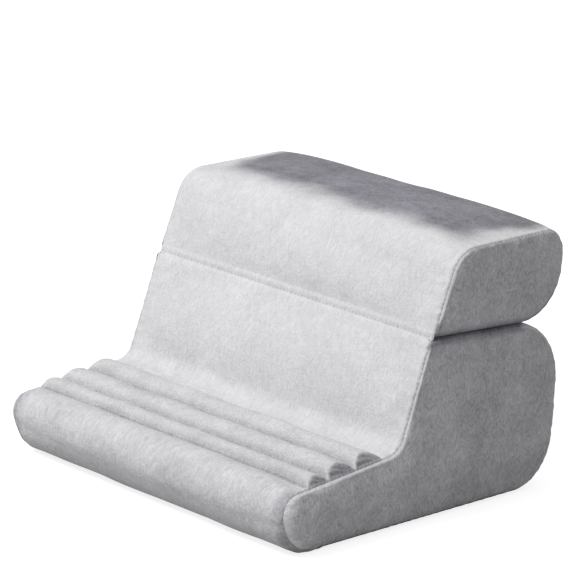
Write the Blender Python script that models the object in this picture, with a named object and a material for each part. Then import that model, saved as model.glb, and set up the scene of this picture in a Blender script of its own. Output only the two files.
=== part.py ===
"""Tablet cushion stand.

A plush covered foam base with a ribbed ledge and a leaning backrest carries a second foam block.
The block is sewn to the base along their front edge and folds forward over the ledge.
Sizes are in millimetres. X runs across the stand, Y from front to back and Z up from the floor.
"""

import math
from collections import namedtuple

import bmesh
import bpy
import numpy as np
from mathutils import Matrix
from mathutils.geometry import delaunay_2d_cdt

MM = 0.001

# Overall sizes of the base, over its side seams.
SEAM_WIDTH = 248.0
NOSE_Y = -129.8
REAR_Y = 123.5
SEAM_LIFT = 1.4
LEDGE_FOOT_Y = -23.7
LEDGE_HEIGHT = 49.7
LEDGE_FALL = 5.7
BACKREST_LEAN = 17.7
BASE_HEIGHT = 117.5
BASE_TOP_FALL = 2.5
NOSE_UNDERCUT = 28.3
REAR_FOOT_IN = 1.6

# Corner radii of the base outline.
BASE_FRONT_RADIUS = 3.0
LEDGE_FOOT_RADIUS = 13.0
NOSE_RADIUS = 12.0
FRONT_FOOT_RADIUS = 34.0
REAR_FOOT_RADIUS = 32.0
BASE_REAR_RADIUS = 45.0

# The shortest straight run left between the nose's round and the front foot's.
UNDERCUT_RUN = 1.0

# The folding block.
BLOCK_FRONT_SETBACK = 2.6
BLOCK_FRONT_LEAN = 19.4
BLOCK_HEIGHT = 53.3
BLOCK_TOP_RISE = 1.1
BLOCK_REAR_Y = 119.0
BLOCK_FRONT_RADIUS = 3.0
BLOCK_TOP_RADIUS = 22.0
BLOCK_REAR_TOP_RADIUS = 18.0
BLOCK_REAR_FOOT_RADIUS = 34.0

# How far the stuffed faces stand out past their side seams, at mid width.
BACKREST_SWELL = 5.0
FOOT_SWELL = 1.2
NOSE_SWELL = 4.6
UNDERCUT_SWELL = 4.6
FRONT_FOOT_SWELL = 3.6
REAR_SWELL = 4.0
REAR_CORNER_SWELL = 2.6
BLOCK_FRONT_SWELL = 5.0
BLOCK_TOP_SWELL = 5.0
BLOCK_REAR_SWELL = 4.0
BLOCK_CORNER_SWELL = 3.4
SIDE_SWELL = 6.0
SIDE_SWELL_REACH = 32.0
ROUND_POWER = 3.0
FLAT_POWER = 120.0

# The ribbed ledge: where its stitched grooves cross the side seam, and how high each rib stands.
GROOVES_Y = (-100.7, -83.7, -60.6, -37.4)
RIB_HEIGHTS = (5.2, 6.9, 6.9)
RIB_END = 13.0
RIB_PAD_MARGIN = 0.12
RIB_ROUNDNESS = 0.85
RIB_PAD_TRIM = 2

# Cloth, thread and the clearances between pieces.
CLOTH = 2.0
TAPE = 1.2
GAP = 0.3
FOAM_PLAY = 0.7
SEAM_GAP = 0.3
BLOCK_GAP = 0.4
HINGE_SEAM_RADIUS = 1.3
HINGE_SEAM_SHARE = 0.5

# The zips, in the lower rear corner of each cover.
ZIP_WIDTH = 14.0
ZIP_ANGLE = 45.0
ZIP_SINK = 0.6
COIL_WIDTH = 5.0
COIL_HEIGHT = 1.5
COIL_END_MARGIN = 24.0
COIL_END_FADE = 3.0
SLIDER_LENGTH = 11.0
SLIDER_WALL = 1.2
SLIDER_CLEARANCE = 0.35
BRIDGE_RADIUS = 0.7
BRIDGE_SPAN = 6.0
BRIDGE_RISE = 2.2
BRIDGE_SINK = 0.4
BRIDGE_STEPS = 8
BRIDGE_SIDES = 8
SLIDER_ROUND = 0.3

# Fineness of the surfaces.
ARC_STEP = 16.0
SMALL_ARC_STEP = 34.0
SMALL_RADIUS = 5.0
RUN_STEP = 24.0
RIB_STEPS = 8
CROSS_SHARES = (0.0, 0.33, 0.66, 1.0)
RIB_END_SHARES = (0.45, 0.75, 0.93)
CAP_SPACING = 27.0
CAP_RING = 10.0
CAP_CLEAR = 9.0
CAP_RING_PLAY = 0.5

COLOURS = {
    "plush": ((0.60, 0.60, 0.61, 1.0), 0.9, 0.0),
    "grip_cloth": ((0.22, 0.22, 0.23, 1.0), 0.85, 0.0),
    "foam": ((0.82, 0.80, 0.70, 1.0), 0.95, 0.0),
    "zip_tape": ((0.42, 0.42, 0.43, 1.0), 0.8, 0.0),
    "zip_metal": ((0.50, 0.50, 0.51, 1.0), 0.35, 1.0),
    "thread": ((0.55, 0.55, 0.56, 1.0), 0.85, 0.0),
}

HALF = SEAM_WIDTH / 2
COVER_END = HALF - CLOTH - GAP
FOAM_INSET = CLOTH + FOAM_PLAY


def clear_scene():
    for old in list(bpy.data.objects):
        bpy.data.objects.remove(old, do_unlink=True)


def make_materials():
    made = {}
    for name, (colour, roughness, metallic) in COLOURS.items():
        material = bpy.data.materials.new(name)
        material.use_nodes = True
        shader = material.node_tree.nodes["Principled BSDF"]
        shader.inputs["Base Color"].default_value = colour
        shader.inputs["Roughness"].default_value = roughness
        shader.inputs["Metallic"].default_value = metallic
        made[name] = material
    return made


def add_piece(name, points, faces, material):
    """Make a closed body from points in millimetres, with its faces turned outwards."""
    mesh = bpy.data.meshes.new(name)
    mesh.from_pydata([tuple(point * MM) for point in points], [], faces)
    work = bmesh.new()
    work.from_mesh(mesh)
    bmesh.ops.recalc_face_normals(work, faces=work.faces)
    work.to_mesh(mesh)
    work.free()
    mesh.shade_smooth()
    mesh.set_sharp_from_angle(angle=math.radians(40))
    if material:
        mesh.materials.append(material)
    piece = bpy.data.objects.new(name, mesh)
    bpy.context.scene.collection.objects.link(piece)
    return piece


def meet(point_a, angle_a, point_b, angle_b):
    """Where the line through point_a at angle_a degrees crosses the one through point_b."""
    way_a = np.array([math.cos(math.radians(angle_a)), math.sin(math.radians(angle_a))])
    way_b = np.array([math.cos(math.radians(angle_b)), math.sin(math.radians(angle_b))])
    steps = np.linalg.solve(np.column_stack([way_a, -way_b]), np.subtract(point_b, point_a))
    return np.asarray(point_a, float) + way_a * steps[0]


Corner = namedtuple("Corner", "place radius swells powers")


class Outline:
    """A closed side outline of straight runs and round corners, followed anticlockwise.

    A corner's swells and powers are those at the start and the end of its arc, and its swell
    eases from the one to the other. A run is given by the swell at its middle, and its swell is
    a parabola through the three values, or by knots of (y, swell) with straight changes between
    them.
    """

    def __init__(self, corners, runs):
        places = [np.asarray(corner.place, float) for corner in corners]
        count = len(corners)
        arcs = []
        for index, corner in enumerate(corners):
            before = places[index] - places[index - 1]
            after = places[(index + 1) % count] - places[index]
            before /= np.linalg.norm(before)
            after /= np.linalg.norm(after)
            turn = math.atan2(before[0] * after[1] - before[1] * after[0], before @ after)
            side = np.array([-before[1], before[0]]) * math.copysign(1.0, turn)
            start = places[index] - before * corner.radius * math.tan(abs(turn) / 2)
            arcs.append((start, start + side * corner.radius, turn))
        self.centres = [arc[1] for arc in arcs]
        self.turns = [arc[2] for arc in arcs]
        self.starts = []
        self.ends = []
        rows = []
        for index, corner in enumerate(corners):
            self.starts.append(len(rows))
            rows += self.arc_rows(corner, *arcs[index])
            self.ends.append(len(rows) - 1)
            following = (index + 1) % count
            rows += self.run_rows(rows[-1], arcs[following][0], corners[following], runs[index])
        self.rows = np.array(rows)
        self.closed = np.vstack([self.rows, self.rows[:1]])
        steps = np.linalg.norm(np.diff(self.closed[:, :2], axis=0), axis=1)
        self.along = np.concatenate([[0.0], np.cumsum(steps)])

    @staticmethod
    def arc_rows(corner, start, centre, turn):
        step = SMALL_ARC_STEP if corner.radius <= SMALL_RADIUS else ARC_STEP
        steps = max(2, math.ceil(abs(math.degrees(turn)) / step))
        rows = []
        for share in np.linspace(0, 1, steps + 1):
            bend = turn * share
            spoke = start - centre
            arm = np.array([spoke[0] * math.cos(bend) - spoke[1] * math.sin(bend),
                            spoke[0] * math.sin(bend) + spoke[1] * math.cos(bend)])
            normal = arm / corner.radius * math.copysign(1.0, turn)
            eased = share * share * (3 - 2 * share)
            swell = corner.swells[0] + (corner.swells[1] - corner.swells[0]) * eased
            power = corner.powers[0] + (corner.powers[1] - corner.powers[0]) * share
            rows.append([*(centre + arm), *normal, swell, power])
        return rows

    @staticmethod
    def run_rows(last, end, following, run):
        first = np.array(last)
        final = np.array([*end, *last[2:4], following.swells[0], following.powers[0]])
        if isinstance(run, list):
            shares = [(y - first[0]) / (final[0] - first[0]) for y, _ in run]
            swells = [swell for _, swell in run]
        else:
            pieces = max(2, math.ceil(np.linalg.norm(final[:2] - first[:2]) / RUN_STEP))
            shares = np.linspace(0, 1, pieces + 1)[1:-1]
            rise = run - (first[4] + final[4]) / 2
            swells = [first[4] + (final[4] - first[4]) * share + 4 * rise * share * (1 - share)
                      for share in shares]
        rows = []
        for share, swell in zip(shares, swells):
            row = first + (final - first) * share
            row[4] = swell
            rows.append(list(row))
        return rows

    def length(self):
        return self.along[-1]

    def at(self, along):
        """Rows of (y, z, normal y, normal z, swell, power) at distances along the outline."""
        wrapped = np.mod(along, self.length())
        return np.column_stack([np.interp(wrapped, self.along, column) for column in self.closed.T])

    def corner_along(self, index, share=0.0):
        first, last = self.along[self.starts[index]], self.along[self.ends[index]]
        return first + (last - first) * share

    def between(self, first, last, extra=()):
        """Distances of the outline's own points from first to last, both ends included."""
        inner = [value + turn for value in self.along[:-1] for turn in (0.0, self.length())]
        near = [value for value in (*inner, *extra) if first + 0.8 < value < last - 0.8]
        return np.array([first, *sorted(near), last])


def swell_across(rows, across):
    """The swell at each place across: swell times 1 - |x / seam| ** power.

    A power of ROUND_POWER gives a plump face, and one of FLAT_POWER a face held straight by the
    floor or by a zip, which only turns down close to its seams.
    """
    share = np.clip(np.abs(across)[None, :] / COVER_END, 0, 1)
    return rows[:, 4:5] * (1 - share ** rows[:, 5:6])


def surface(rows, across, raised):
    """Points of the outline rows carried across the stand and raised along their normals."""
    lift = swell_across(rows, across) + raised
    y = rows[:, 0:1] + rows[:, 2:3] * lift
    z = rows[:, 1:2] + rows[:, 3:4] * lift
    x = np.broadcast_to(across[None, :], y.shape)
    return np.stack([x, y, z], axis=-1)


def mirrored(right):
    """Places across the stand, from the left seam to the right one."""
    right = np.asarray(right, float)
    return np.concatenate([-right[:0:-1], right])


def plain_stations():
    return mirrored([*(np.array(CROSS_SHARES) * (COVER_END - RIB_END)), COVER_END])


def rib_stations():
    inner = np.array(CROSS_SHARES) * (COVER_END - RIB_END)
    ends = COVER_END - RIB_END + RIB_END * np.array(RIB_END_SHARES)
    return mirrored([*inner, *ends, COVER_END])


def rib_end_share(across):
    """Ribs keep their full height up to RIB_END from the seam and close in a quarter circle."""
    share = np.clip((np.abs(across) - (COVER_END - RIB_END)) / RIB_END, 0, 1)
    return np.sqrt(1 - share ** 2)


def halves(near, beside, across, ahead, mirror):
    """Two triangles of a four-sided cell, cut along mirrored diagonals left and right."""
    if mirror:
        return [(near, beside, ahead), (beside, across, ahead)]
    return [(near, beside, across), (near, across, ahead)]


def slab(outer, inner):
    """Faces and points of a closed panel between two like grids."""
    rows, columns = outer.shape[:2]
    count = rows * columns
    points = np.vstack([outer.reshape(-1, 3), inner.reshape(-1, 3)])
    faces = []
    for row in range(rows - 1):
        for column in range(columns - 1):
            corner = row * columns + column
            cell = halves(corner, corner + 1, corner + columns + 1, corner + columns,
                          column < columns // 2)
            faces += cell
            faces += [tuple(count + value for value in reversed(half)) for half in cell]
    rim = list(range(columns))
    rim += [row * columns + columns - 1 for row in range(1, rows)]
    rim += [(rows - 1) * columns + column for column in range(columns - 2, -1, -1)]
    rim += [row * columns for row in range(rows - 2, 0, -1)]
    for index, first in enumerate(rim):
        second = rim[(index + 1) % len(rim)]
        faces.append((first, first + count, second + count, second))
    return points, faces


def side_distance(outline, places):
    """Distance of each place from the seam outline."""
    starts = outline.closed[:-1, :2]
    ways = outline.closed[1:, :2] - starts
    reach = np.einsum("ij,ij->i", ways, ways)
    offsets = places[:, None, :] - starts[None, :, :]
    share = np.clip(np.einsum("pij,ij->pi", offsets, ways) / reach, 0, 1)
    nearest = offsets - share[:, :, None] * ways[None, :, :]
    return np.linalg.norm(nearest, axis=2).min(axis=1)


def side_bulge(outline, places):
    """A stuffed side stands out by a parabola of the distance from its seam."""
    share = np.clip(side_distance(outline, places) / SIDE_SWELL_REACH, 0, 1)
    return SIDE_SWELL * (1 - (1 - share) ** 2)


def inside(ring, places):
    """Which places lie inside the ring, by counting the edges to their right."""
    following = np.roll(ring, -1, axis=0)
    y, z = places[:, 0:1], places[:, 1:2]
    spans = (ring[None, :, 1] > z) != (following[None, :, 1] > z)
    rise = following[:, 1] - ring[:, 1]
    rise = np.where(rise == 0, 1.0, rise)
    cross = ring[None, :, 0] + (z - ring[None, :, 1]) / rise * (following[:, 0] - ring[:, 0])
    return (np.count_nonzero(spans & (cross > y), axis=1) % 2) == 1


def side_mesh(outline):
    """A triangle mesh over the side outline: its rim, one ring inside it and a plain grid."""
    rim = outline.rows[:, :2]
    ring = rim - outline.rows[:, 2:4] * CAP_RING
    low, high = rim.min(axis=0), rim.max(axis=0)
    counts = np.maximum(np.round((high - low) / CAP_SPACING).astype(int), 1)
    columns = [np.linspace(low[axis], high[axis], counts[axis] + 1)[1:-1] for axis in (0, 1)]
    grid = np.stack(np.meshgrid(*columns, indexing="ij"), axis=-1).reshape(-1, 2)
    grid = grid[side_distance(outline, grid) > CAP_RING + CAP_CLEAR]
    ring = ring[side_distance(outline, ring) > CAP_RING - CAP_RING_PLAY]
    extra = np.vstack([ring, grid])
    extra = extra[inside(rim, extra)]
    places = np.vstack([rim, extra])
    triangles = delaunay_2d_cdt([tuple(place) for place in places], [], [list(range(len(rim)))],
                                1, 1e-6)[2]
    return places, [tuple(triangle) for triangle in triangles], len(rim)


def add_side_panel(name, outline, side, material):
    places, triangles, rim = side_mesh(outline)
    bulge = side_bulge(outline, places)
    count = len(places)
    outer = np.column_stack([side * (HALF + bulge), places])
    inner = np.column_stack([side * (HALF - CLOTH + bulge), places])
    faces = list(triangles)
    faces += [tuple(count + value for value in reversed(triangle)) for triangle in triangles]
    for first in range(rim):
        second = (first + 1) % rim
        faces.append((first, first + count, second + count, second))
    return add_piece(name, np.vstack([outer, inner]), faces, material)


def add_foam(name, outline, material):
    """A foam core that fills its cover, with bulging ends behind the side panels."""
    places, triangles, rim = side_mesh(outline)
    bulge = side_bulge(outline, places)
    reach = HALF - FOAM_INSET + bulge
    places[:rim] -= outline.rows[:, 2:4] * FOAM_INSET
    across = plain_stations()[1:-1]
    middle = surface(outline.rows, across, -FOAM_INSET)
    rings = middle.shape[1]
    right = np.column_stack([reach, places])
    left = np.column_stack([-reach, places])
    points = np.vstack([left, right, middle.transpose(1, 0, 2).reshape(-1, 3)])
    count = len(places)
    chain = [0, *(2 * count + ring * rim for ring in range(rings)), count]
    faces = [tuple(reversed(triangle)) for triangle in triangles]
    faces += [tuple(count + value for value in triangle) for triangle in triangles]
    for step, (first, second) in enumerate(zip(chain[:-1], chain[1:])):
        for index in range(rim):
            following = (index + 1) % rim
            faces += halves(first + index, second + index, second + following, first + following,
                            step < len(chain) // 2)
    return add_piece(name, points, faces, material)


def add_cover(name, outline, first, last, material, thickness=CLOTH, sink=0.0):
    """A cloth panel along part of the outline, from seam to seam."""
    along = outline.between(first + SEAM_GAP / 2, last - SEAM_GAP / 2)
    rows = outline.at(along)
    across = plain_stations()
    outer = surface(rows, across, -sink)
    inner = surface(rows, across, -sink - thickness)
    return add_piece(name, *slab(outer, inner), material)


def base_outline():
    """The base's seam outline: backrest, ledge, nose, underside, rear and top."""
    floor = (0.0, SEAM_LIFT)
    ledge_foot = (LEDGE_FOOT_Y, LEDGE_HEIGHT)
    front_top = meet(ledge_foot, 90.0 - BACKREST_LEAN, (0.0, BASE_HEIGHT), -BASE_TOP_FALL)
    nose = meet(ledge_foot, LEDGE_FALL, (NOSE_Y, 0.0), 90.0)
    front_foot = meet(nose, 90.0 + NOSE_UNDERCUT, floor, 0.0)
    nose_tangent = NOSE_RADIUS * math.tan(math.radians(90.0 + NOSE_UNDERCUT - LEDGE_FALL) / 2)
    room = np.linalg.norm(front_foot - nose) - nose_tangent - UNDERCUT_RUN
    foot_radius = min(FRONT_FOOT_RADIUS, room / math.tan(math.radians(90.0 - NOSE_UNDERCUT) / 2))
    rear_foot = (REAR_Y - REAR_FOOT_IN, SEAM_LIFT)
    rear_top = meet(front_top, -BASE_TOP_FALL, (REAR_Y, 0.0), 90.0)
    corners = [
        Corner(front_top, BASE_FRONT_RADIUS, (0.0, 0.0), (ROUND_POWER, ROUND_POWER)),
        Corner(ledge_foot, LEDGE_FOOT_RADIUS, (FOOT_SWELL, 0.0), (ROUND_POWER, ROUND_POWER)),
        Corner(nose, NOSE_RADIUS, (NOSE_SWELL, NOSE_SWELL), (ROUND_POWER, ROUND_POWER)),
        Corner(front_foot, foot_radius, (FRONT_FOOT_SWELL, SEAM_LIFT),
               (ROUND_POWER, FLAT_POWER)),
        Corner(rear_foot, REAR_FOOT_RADIUS, (SEAM_LIFT, SEAM_LIFT), (FLAT_POWER, FLAT_POWER)),
        Corner(rear_top, BASE_REAR_RADIUS, (REAR_CORNER_SWELL, 0.0), (ROUND_POWER, ROUND_POWER)),
    ]
    ledge = [(y, 0.0) for y in sorted(GROOVES_Y, reverse=True)]
    return Outline(corners, [BACKREST_SWELL, ledge, UNDERCUT_SWELL, SEAM_LIFT, REAR_SWELL, 0.0])


def block_outline(base):
    """The block's seam outline: underside, rear, top and front, above the base's top."""
    below = base.rows[base.ends[5]]
    rest = below[:2] + below[2:4] * BLOCK_GAP
    front_y = base.centres[0][0] - BASE_FRONT_RADIUS + BLOCK_FRONT_SETBACK
    front = meet(rest, -BASE_TOP_FALL, (front_y, 0.0), 90.0)
    rear_foot = meet(rest, -BASE_TOP_FALL, (BLOCK_REAR_Y, 0.0), 90.0)
    ceiling = (front[0], front[1] + BLOCK_HEIGHT)
    top_front = meet(front, 90.0 - BLOCK_FRONT_LEAN, ceiling, BLOCK_TOP_RISE)
    rear_top = meet(top_front, BLOCK_TOP_RISE, (BLOCK_REAR_Y, 0.0), 90.0)
    corner_swells = (BLOCK_CORNER_SWELL, BLOCK_CORNER_SWELL)
    corners = [
        Corner(front, BLOCK_FRONT_RADIUS, (0.0, 0.0), (ROUND_POWER, ROUND_POWER)),
        Corner(rear_foot, BLOCK_REAR_FOOT_RADIUS, (0.0, 0.0), (FLAT_POWER, FLAT_POWER)),
        Corner(rear_top, BLOCK_REAR_TOP_RADIUS, corner_swells, (ROUND_POWER, ROUND_POWER)),
        Corner(top_front, BLOCK_TOP_RADIUS, corner_swells, (ROUND_POWER, ROUND_POWER)),
    ]
    return Outline(corners, [0.0, BLOCK_REAR_SWELL, BLOCK_TOP_SWELL, BLOCK_FRONT_SWELL])


def grooves_along(base):
    """Distances along the outline of the ledge's stitched grooves, from the backrest forwards."""
    first = base.ends[1] + 1
    return base.along[first:first + len(GROOVES_Y)]


def rib_height(along, grooves):
    """Height of the ribs above the ledge: each is a half wave with a rounded crest."""
    height = np.zeros_like(along)
    for rear, front, crest in zip(grooves[:-1], grooves[1:], RIB_HEIGHTS[::-1]):
        share = (along - rear) / (front - rear)
        held = (share > 0) & (share < 1)
        wave = np.sin(np.pi * np.clip(share, 0, 1))
        height = np.where(held, crest * wave ** RIB_ROUNDNESS, height)
    return height


def add_front_cover(base, material):
    """The cover from the hinge down the backrest, over the ribs and the nose to the underside."""
    grooves = grooves_along(base)
    extra = [value for rear, front in zip(grooves[:-1], grooves[1:])
             for value in np.linspace(rear, front, RIB_STEPS + 1)]
    first = base.corner_along(0, HINGE_SEAM_SHARE)
    last = base.corner_along(3, 1.0)
    along = base.between(first + SEAM_GAP / 2, last - SEAM_GAP / 2, extra)
    rows = base.at(along)
    across = rib_stations()
    ribs = rib_height(along, grooves)[:, None] * rib_end_share(across)[None, :]
    outer = surface(rows, across, ribs)
    inner = surface(rows, across, ribs - CLOTH)
    return add_piece("base_front_cover", *slab(outer, inner), material)


def add_rib_pads(base, material):
    """Foam strips under the cover that fill its ribs, flat below and rounded above."""
    grooves = grooves_along(base)
    for index, word in enumerate(("rear", "middle", "front")):
        width = grooves[index + 1] - grooves[index]
        along = np.linspace(grooves[index] + width * RIB_PAD_MARGIN,
                            grooves[index + 1] - width * RIB_PAD_MARGIN, RIB_STEPS - 1)
        rows = base.at(along)
        across = rib_stations()[RIB_PAD_TRIM:-RIB_PAD_TRIM]
        ribs = rib_height(along, grooves)[:, None] * rib_end_share(across)[None, :]
        top = surface(rows, across, ribs - CLOTH - GAP)
        under = surface(rows, across, -CLOTH)
        add_piece(f"{word}_rib_pad", *slab(top, under), material)


def zip_span(outline, corner):
    """Where the zip's tape starts, has its middle and ends, along the outline."""
    turn = math.degrees(outline.turns[corner])
    middle = outline.corner_along(corner, ZIP_ANGLE / turn)
    return middle - ZIP_WIDTH / 2, middle, middle + ZIP_WIDTH / 2


def coil_end():
    return COVER_END - COIL_END_MARGIN


def add_zip_tape(name, outline, corner, material):
    """The zip's tape with its closed coil as a low round bead along the middle."""
    first, middle, last = zip_span(outline, corner)
    half = COIL_WIDTH / 2
    beads = middle + half * np.array([-1.0, -0.72, -0.3, 0.3, 0.72, 1.0])
    along = np.array([first + SEAM_GAP / 2, *beads, last - SEAM_GAP / 2])
    rows = outline.at(along)
    across = mirrored([0.0, *(np.array(CROSS_SHARES[1:-1]) * (COVER_END - RIB_END)),
                       coil_end() - COIL_END_FADE, coil_end(), COVER_END])
    round_share = np.clip(1 - ((along - middle) / half) ** 2, 0, 1)[:, None]
    end_share = np.clip((coil_end() - np.abs(across)) / COIL_END_FADE, 0, 1)[None, :]
    outer = surface(rows, across, COIL_HEIGHT * round_share * end_share - ZIP_SINK)
    inner = surface(rows, across, -ZIP_SINK - TAPE)
    return add_piece(name, *slab(outer, inner), material)


def bridge_mesh(name, roof):
    """The small loop on a slider's roof: a round bar bent in a half ellipse along X."""
    turns = np.linspace(0, math.pi, BRIDGE_STEPS + 1)
    sides = np.linspace(0, 2 * math.pi, BRIDGE_SIDES, endpoint=False)
    centre_x = BRIDGE_SPAN / 2 * np.cos(turns)
    centre_z = roof - BRIDGE_SINK + BRIDGE_RISE * np.sin(turns)
    out_x = BRIDGE_RISE * np.cos(turns)
    out_z = BRIDGE_SPAN / 2 * np.sin(turns)
    size = np.hypot(out_x, out_z)
    swing = BRIDGE_RADIUS * np.cos(sides)
    points = np.stack([centre_x[:, None] + (out_x / size)[:, None] * swing,
                       np.broadcast_to(BRIDGE_RADIUS * np.sin(sides), (len(turns), len(sides))),
                       centre_z[:, None] + (out_z / size)[:, None] * swing], axis=-1).reshape(-1, 3)
    faces = [tuple(range(BRIDGE_SIDES)), tuple(range(len(points) - BRIDGE_SIDES, len(points)))]
    for ring in range(BRIDGE_STEPS):
        for side in range(BRIDGE_SIDES):
            after = (side + 1) % BRIDGE_SIDES
            low, high = ring * BRIDGE_SIDES, (ring + 1) * BRIDGE_SIDES
            faces.append((low + side, low + after, high + after, high + side))
    bridge = add_piece(name, points, faces, None)
    bridge.hide_render = True
    bridge.display_type = "WIRE"
    return bridge


def add_zip_slider(name, outline, corner, material):
    """A slider with no pull: a channel over the coil, rounded edges and a small loop on its roof."""
    middle = zip_span(outline, corner)[1]
    y, z, normal_y, normal_z, swell, _ = outline.at(np.array([middle]))[0]
    inner = COIL_WIDTH / 2 + SLIDER_CLEARANCE
    outer = inner + SLIDER_WALL
    foot = -ZIP_SINK + SLIDER_CLEARANCE
    ceiling = -ZIP_SINK + COIL_HEIGHT + SLIDER_CLEARANCE
    roof = ceiling + SLIDER_WALL
    section = [(-outer, foot), (-inner, foot), (-inner, ceiling), (inner, ceiling),
               (inner, foot), (outer, foot), (outer, roof), (-outer, roof)]
    count = len(section)
    ends = (-SLIDER_LENGTH / 2, SLIDER_LENGTH / 2)
    points = np.array([(end, across, high) for end in ends for across, high in section])
    faces = [(0, 1, 2, 3, 4, 5, 6, 7), tuple(range(2 * count - 1, count - 1, -1))]
    for first in range(count):
        second = (first + 1) % count
        faces.append((first, second, second + count, first + count))
    slider = add_piece(name, points, faces, material)
    round_edges = slider.modifiers.new("round_edges", "BEVEL")
    round_edges.width = SLIDER_ROUND * MM
    round_edges.segments = 1
    bridge = bridge_mesh(f"{name}_bridge", roof)
    union = slider.modifiers.new("bridge", "BOOLEAN")
    union.operation = "UNION"
    union.object = bridge
    place = np.array([y, z]) + np.array([normal_y, normal_z]) * swell
    turn = Matrix.Rotation(math.atan2(-normal_y, normal_z), 4, "X")
    start_x = -(coil_end() - COIL_END_FADE - SLIDER_LENGTH / 2)
    frame = Matrix.Translation((start_x * MM, place[0] * MM, place[1] * MM)) @ turn
    slider.matrix_world = frame
    bridge.matrix_world = frame
    return slider


def hinge_centre(base, block):
    """The sewn hinge line nests in front, clear of both rounded front corners."""
    reach_base = BASE_FRONT_RADIUS + GAP + HINGE_SEAM_RADIUS
    reach_block = BLOCK_FRONT_RADIUS + GAP + HINGE_SEAM_RADIUS
    way = block.centres[0] - base.centres[0]
    apart = np.linalg.norm(way)
    way /= apart
    share = (apart ** 2 + reach_base ** 2 - reach_block ** 2) / (2 * apart)
    ahead = math.sqrt(reach_base ** 2 - share ** 2)
    return base.centres[0] + way * share + np.array([-way[1], way[0]]) * ahead


def add_hinge_seam(base, block, material):
    """The rolled seam that joins the covers of base and block, on the fold's axis."""
    place = hinge_centre(base, block)
    sides = np.linspace(0, 2 * math.pi, 10, endpoint=False)
    across = mirrored([0.0, COVER_END - HINGE_SEAM_RADIUS, COVER_END])
    radius = np.where(np.abs(across) > COVER_END - HINGE_SEAM_RADIUS / 2, 0.5, 1.0)
    radius = radius * HINGE_SEAM_RADIUS
    points = np.stack([np.broadcast_to(across[:, None], (len(across), len(sides))),
                       place[0] + radius[:, None] * np.cos(sides),
                       place[1] + radius[:, None] * np.sin(sides)], axis=-1).reshape(-1, 3)
    count = len(sides)
    faces = [tuple(range(count)), tuple(range(len(points) - count, len(points)))]
    for ring in range(len(across) - 1):
        for side in range(count):
            after = (side + 1) % count
            low, high = ring * count, (ring + 1) * count
            faces.append((low + side, low + after, high + after, high + side))
    return add_piece("hinge_seam", points, faces, material)


def add_base(base, materials):
    add_foam("base_foam", base, materials["foam"])
    add_rib_pads(base, materials["foam"])
    add_front_cover(base, materials["plush"])
    zip_first, _, zip_last = zip_span(base, 4)
    add_cover("base_bottom_panel", base, base.corner_along(3, 1.0), zip_first,
              materials["grip_cloth"])
    add_zip_tape("base_zip_tape", base, 4, materials["zip_tape"])
    add_zip_slider("base_zip_slider", base, 4, materials["zip_metal"])
    hinge_end = base.length() + base.corner_along(0, HINGE_SEAM_SHARE)
    add_cover("base_rear_cover", base, zip_last, hinge_end, materials["plush"])
    for side, word in ((-1, "left"), (1, "right")):
        add_side_panel(f"base_{word}_side_panel", base, side, materials["plush"])


def add_block(block, materials):
    add_foam("block_foam", block, materials["foam"])
    hinge_start = block.corner_along(0, HINGE_SEAM_SHARE)
    zip_first, _, zip_last = zip_span(block, 1)
    add_cover("block_under_cover", block, hinge_start, zip_first, materials["plush"])
    add_zip_tape("block_zip_tape", block, 1, materials["zip_tape"])
    add_zip_slider("block_zip_slider", block, 1, materials["zip_metal"])
    add_cover("block_cover", block, zip_last, block.length() + hinge_start, materials["plush"])
    for side, word in ((-1, "left"), (1, "right")):
        add_side_panel(f"block_{word}_side_panel", block, side, materials["plush"])


def main():
    clear_scene()
    materials = make_materials()
    base = base_outline()
    block = block_outline(base)
    add_base(base, materials)
    add_block(block, materials)
    add_hinge_seam(base, block, materials["thread"])


main()
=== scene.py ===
"""Cushion stand: its plush covers, ribs, seams, folding hinge, zips and grip cloth.

The covers are sheets worked out from two seam outlines in the Y-Z plane, one for the base and one
for the folding block. Distances in the shape functions are millimetres, and meshes are metres.
X runs across the stand, Y from front to back and Z up from the floor.
"""

import math
from typing import NamedTuple

import bmesh
import bpy
import numpy as np
from mathutils import Matrix, Vector


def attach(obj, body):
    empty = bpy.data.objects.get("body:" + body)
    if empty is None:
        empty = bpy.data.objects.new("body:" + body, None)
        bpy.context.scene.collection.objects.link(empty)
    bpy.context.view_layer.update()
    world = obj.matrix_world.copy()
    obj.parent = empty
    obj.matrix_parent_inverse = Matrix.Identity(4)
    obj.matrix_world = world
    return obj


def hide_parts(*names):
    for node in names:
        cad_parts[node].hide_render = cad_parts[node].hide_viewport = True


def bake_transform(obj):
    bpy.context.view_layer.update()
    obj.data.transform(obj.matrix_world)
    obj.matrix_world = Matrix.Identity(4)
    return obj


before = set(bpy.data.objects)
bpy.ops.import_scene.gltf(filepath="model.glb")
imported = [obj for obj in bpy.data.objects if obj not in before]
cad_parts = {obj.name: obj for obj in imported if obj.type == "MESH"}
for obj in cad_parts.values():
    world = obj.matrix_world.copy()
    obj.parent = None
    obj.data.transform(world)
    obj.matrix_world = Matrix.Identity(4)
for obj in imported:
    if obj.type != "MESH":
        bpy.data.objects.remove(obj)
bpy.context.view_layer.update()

bl_info = {
    "name": "Cushion stand",
    "version": (1, 0, 0),
    "blender": (4, 5, 0),
    "location": "View3D > Sidebar > Cushion stand",
    "description": "Plush covers, seams, zips and grip cloth of a folding cushion stand",
    "category": "Mesh",
}


class Corner(NamedTuple):
    """A round corner of a seam outline, and the straight run that follows it.

    The place is y and z. Swells and powers are those at both ends of the corner, and middle is the
    swell half way along the run. A run that is flat up to a place y swells only from there on.
    """

    place: tuple
    radius: float
    swells: tuple
    powers: tuple
    middle: float
    flat_to: float = None


MM = 0.001
# From the middle of the stand to the plane of a side seam.
HALF = 124.0
# Powers of the swell across a cover. The higher the power, the flatter the middle is.
ROUND = 3.0
FULL = 5.0
FLAT = 120.0
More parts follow.
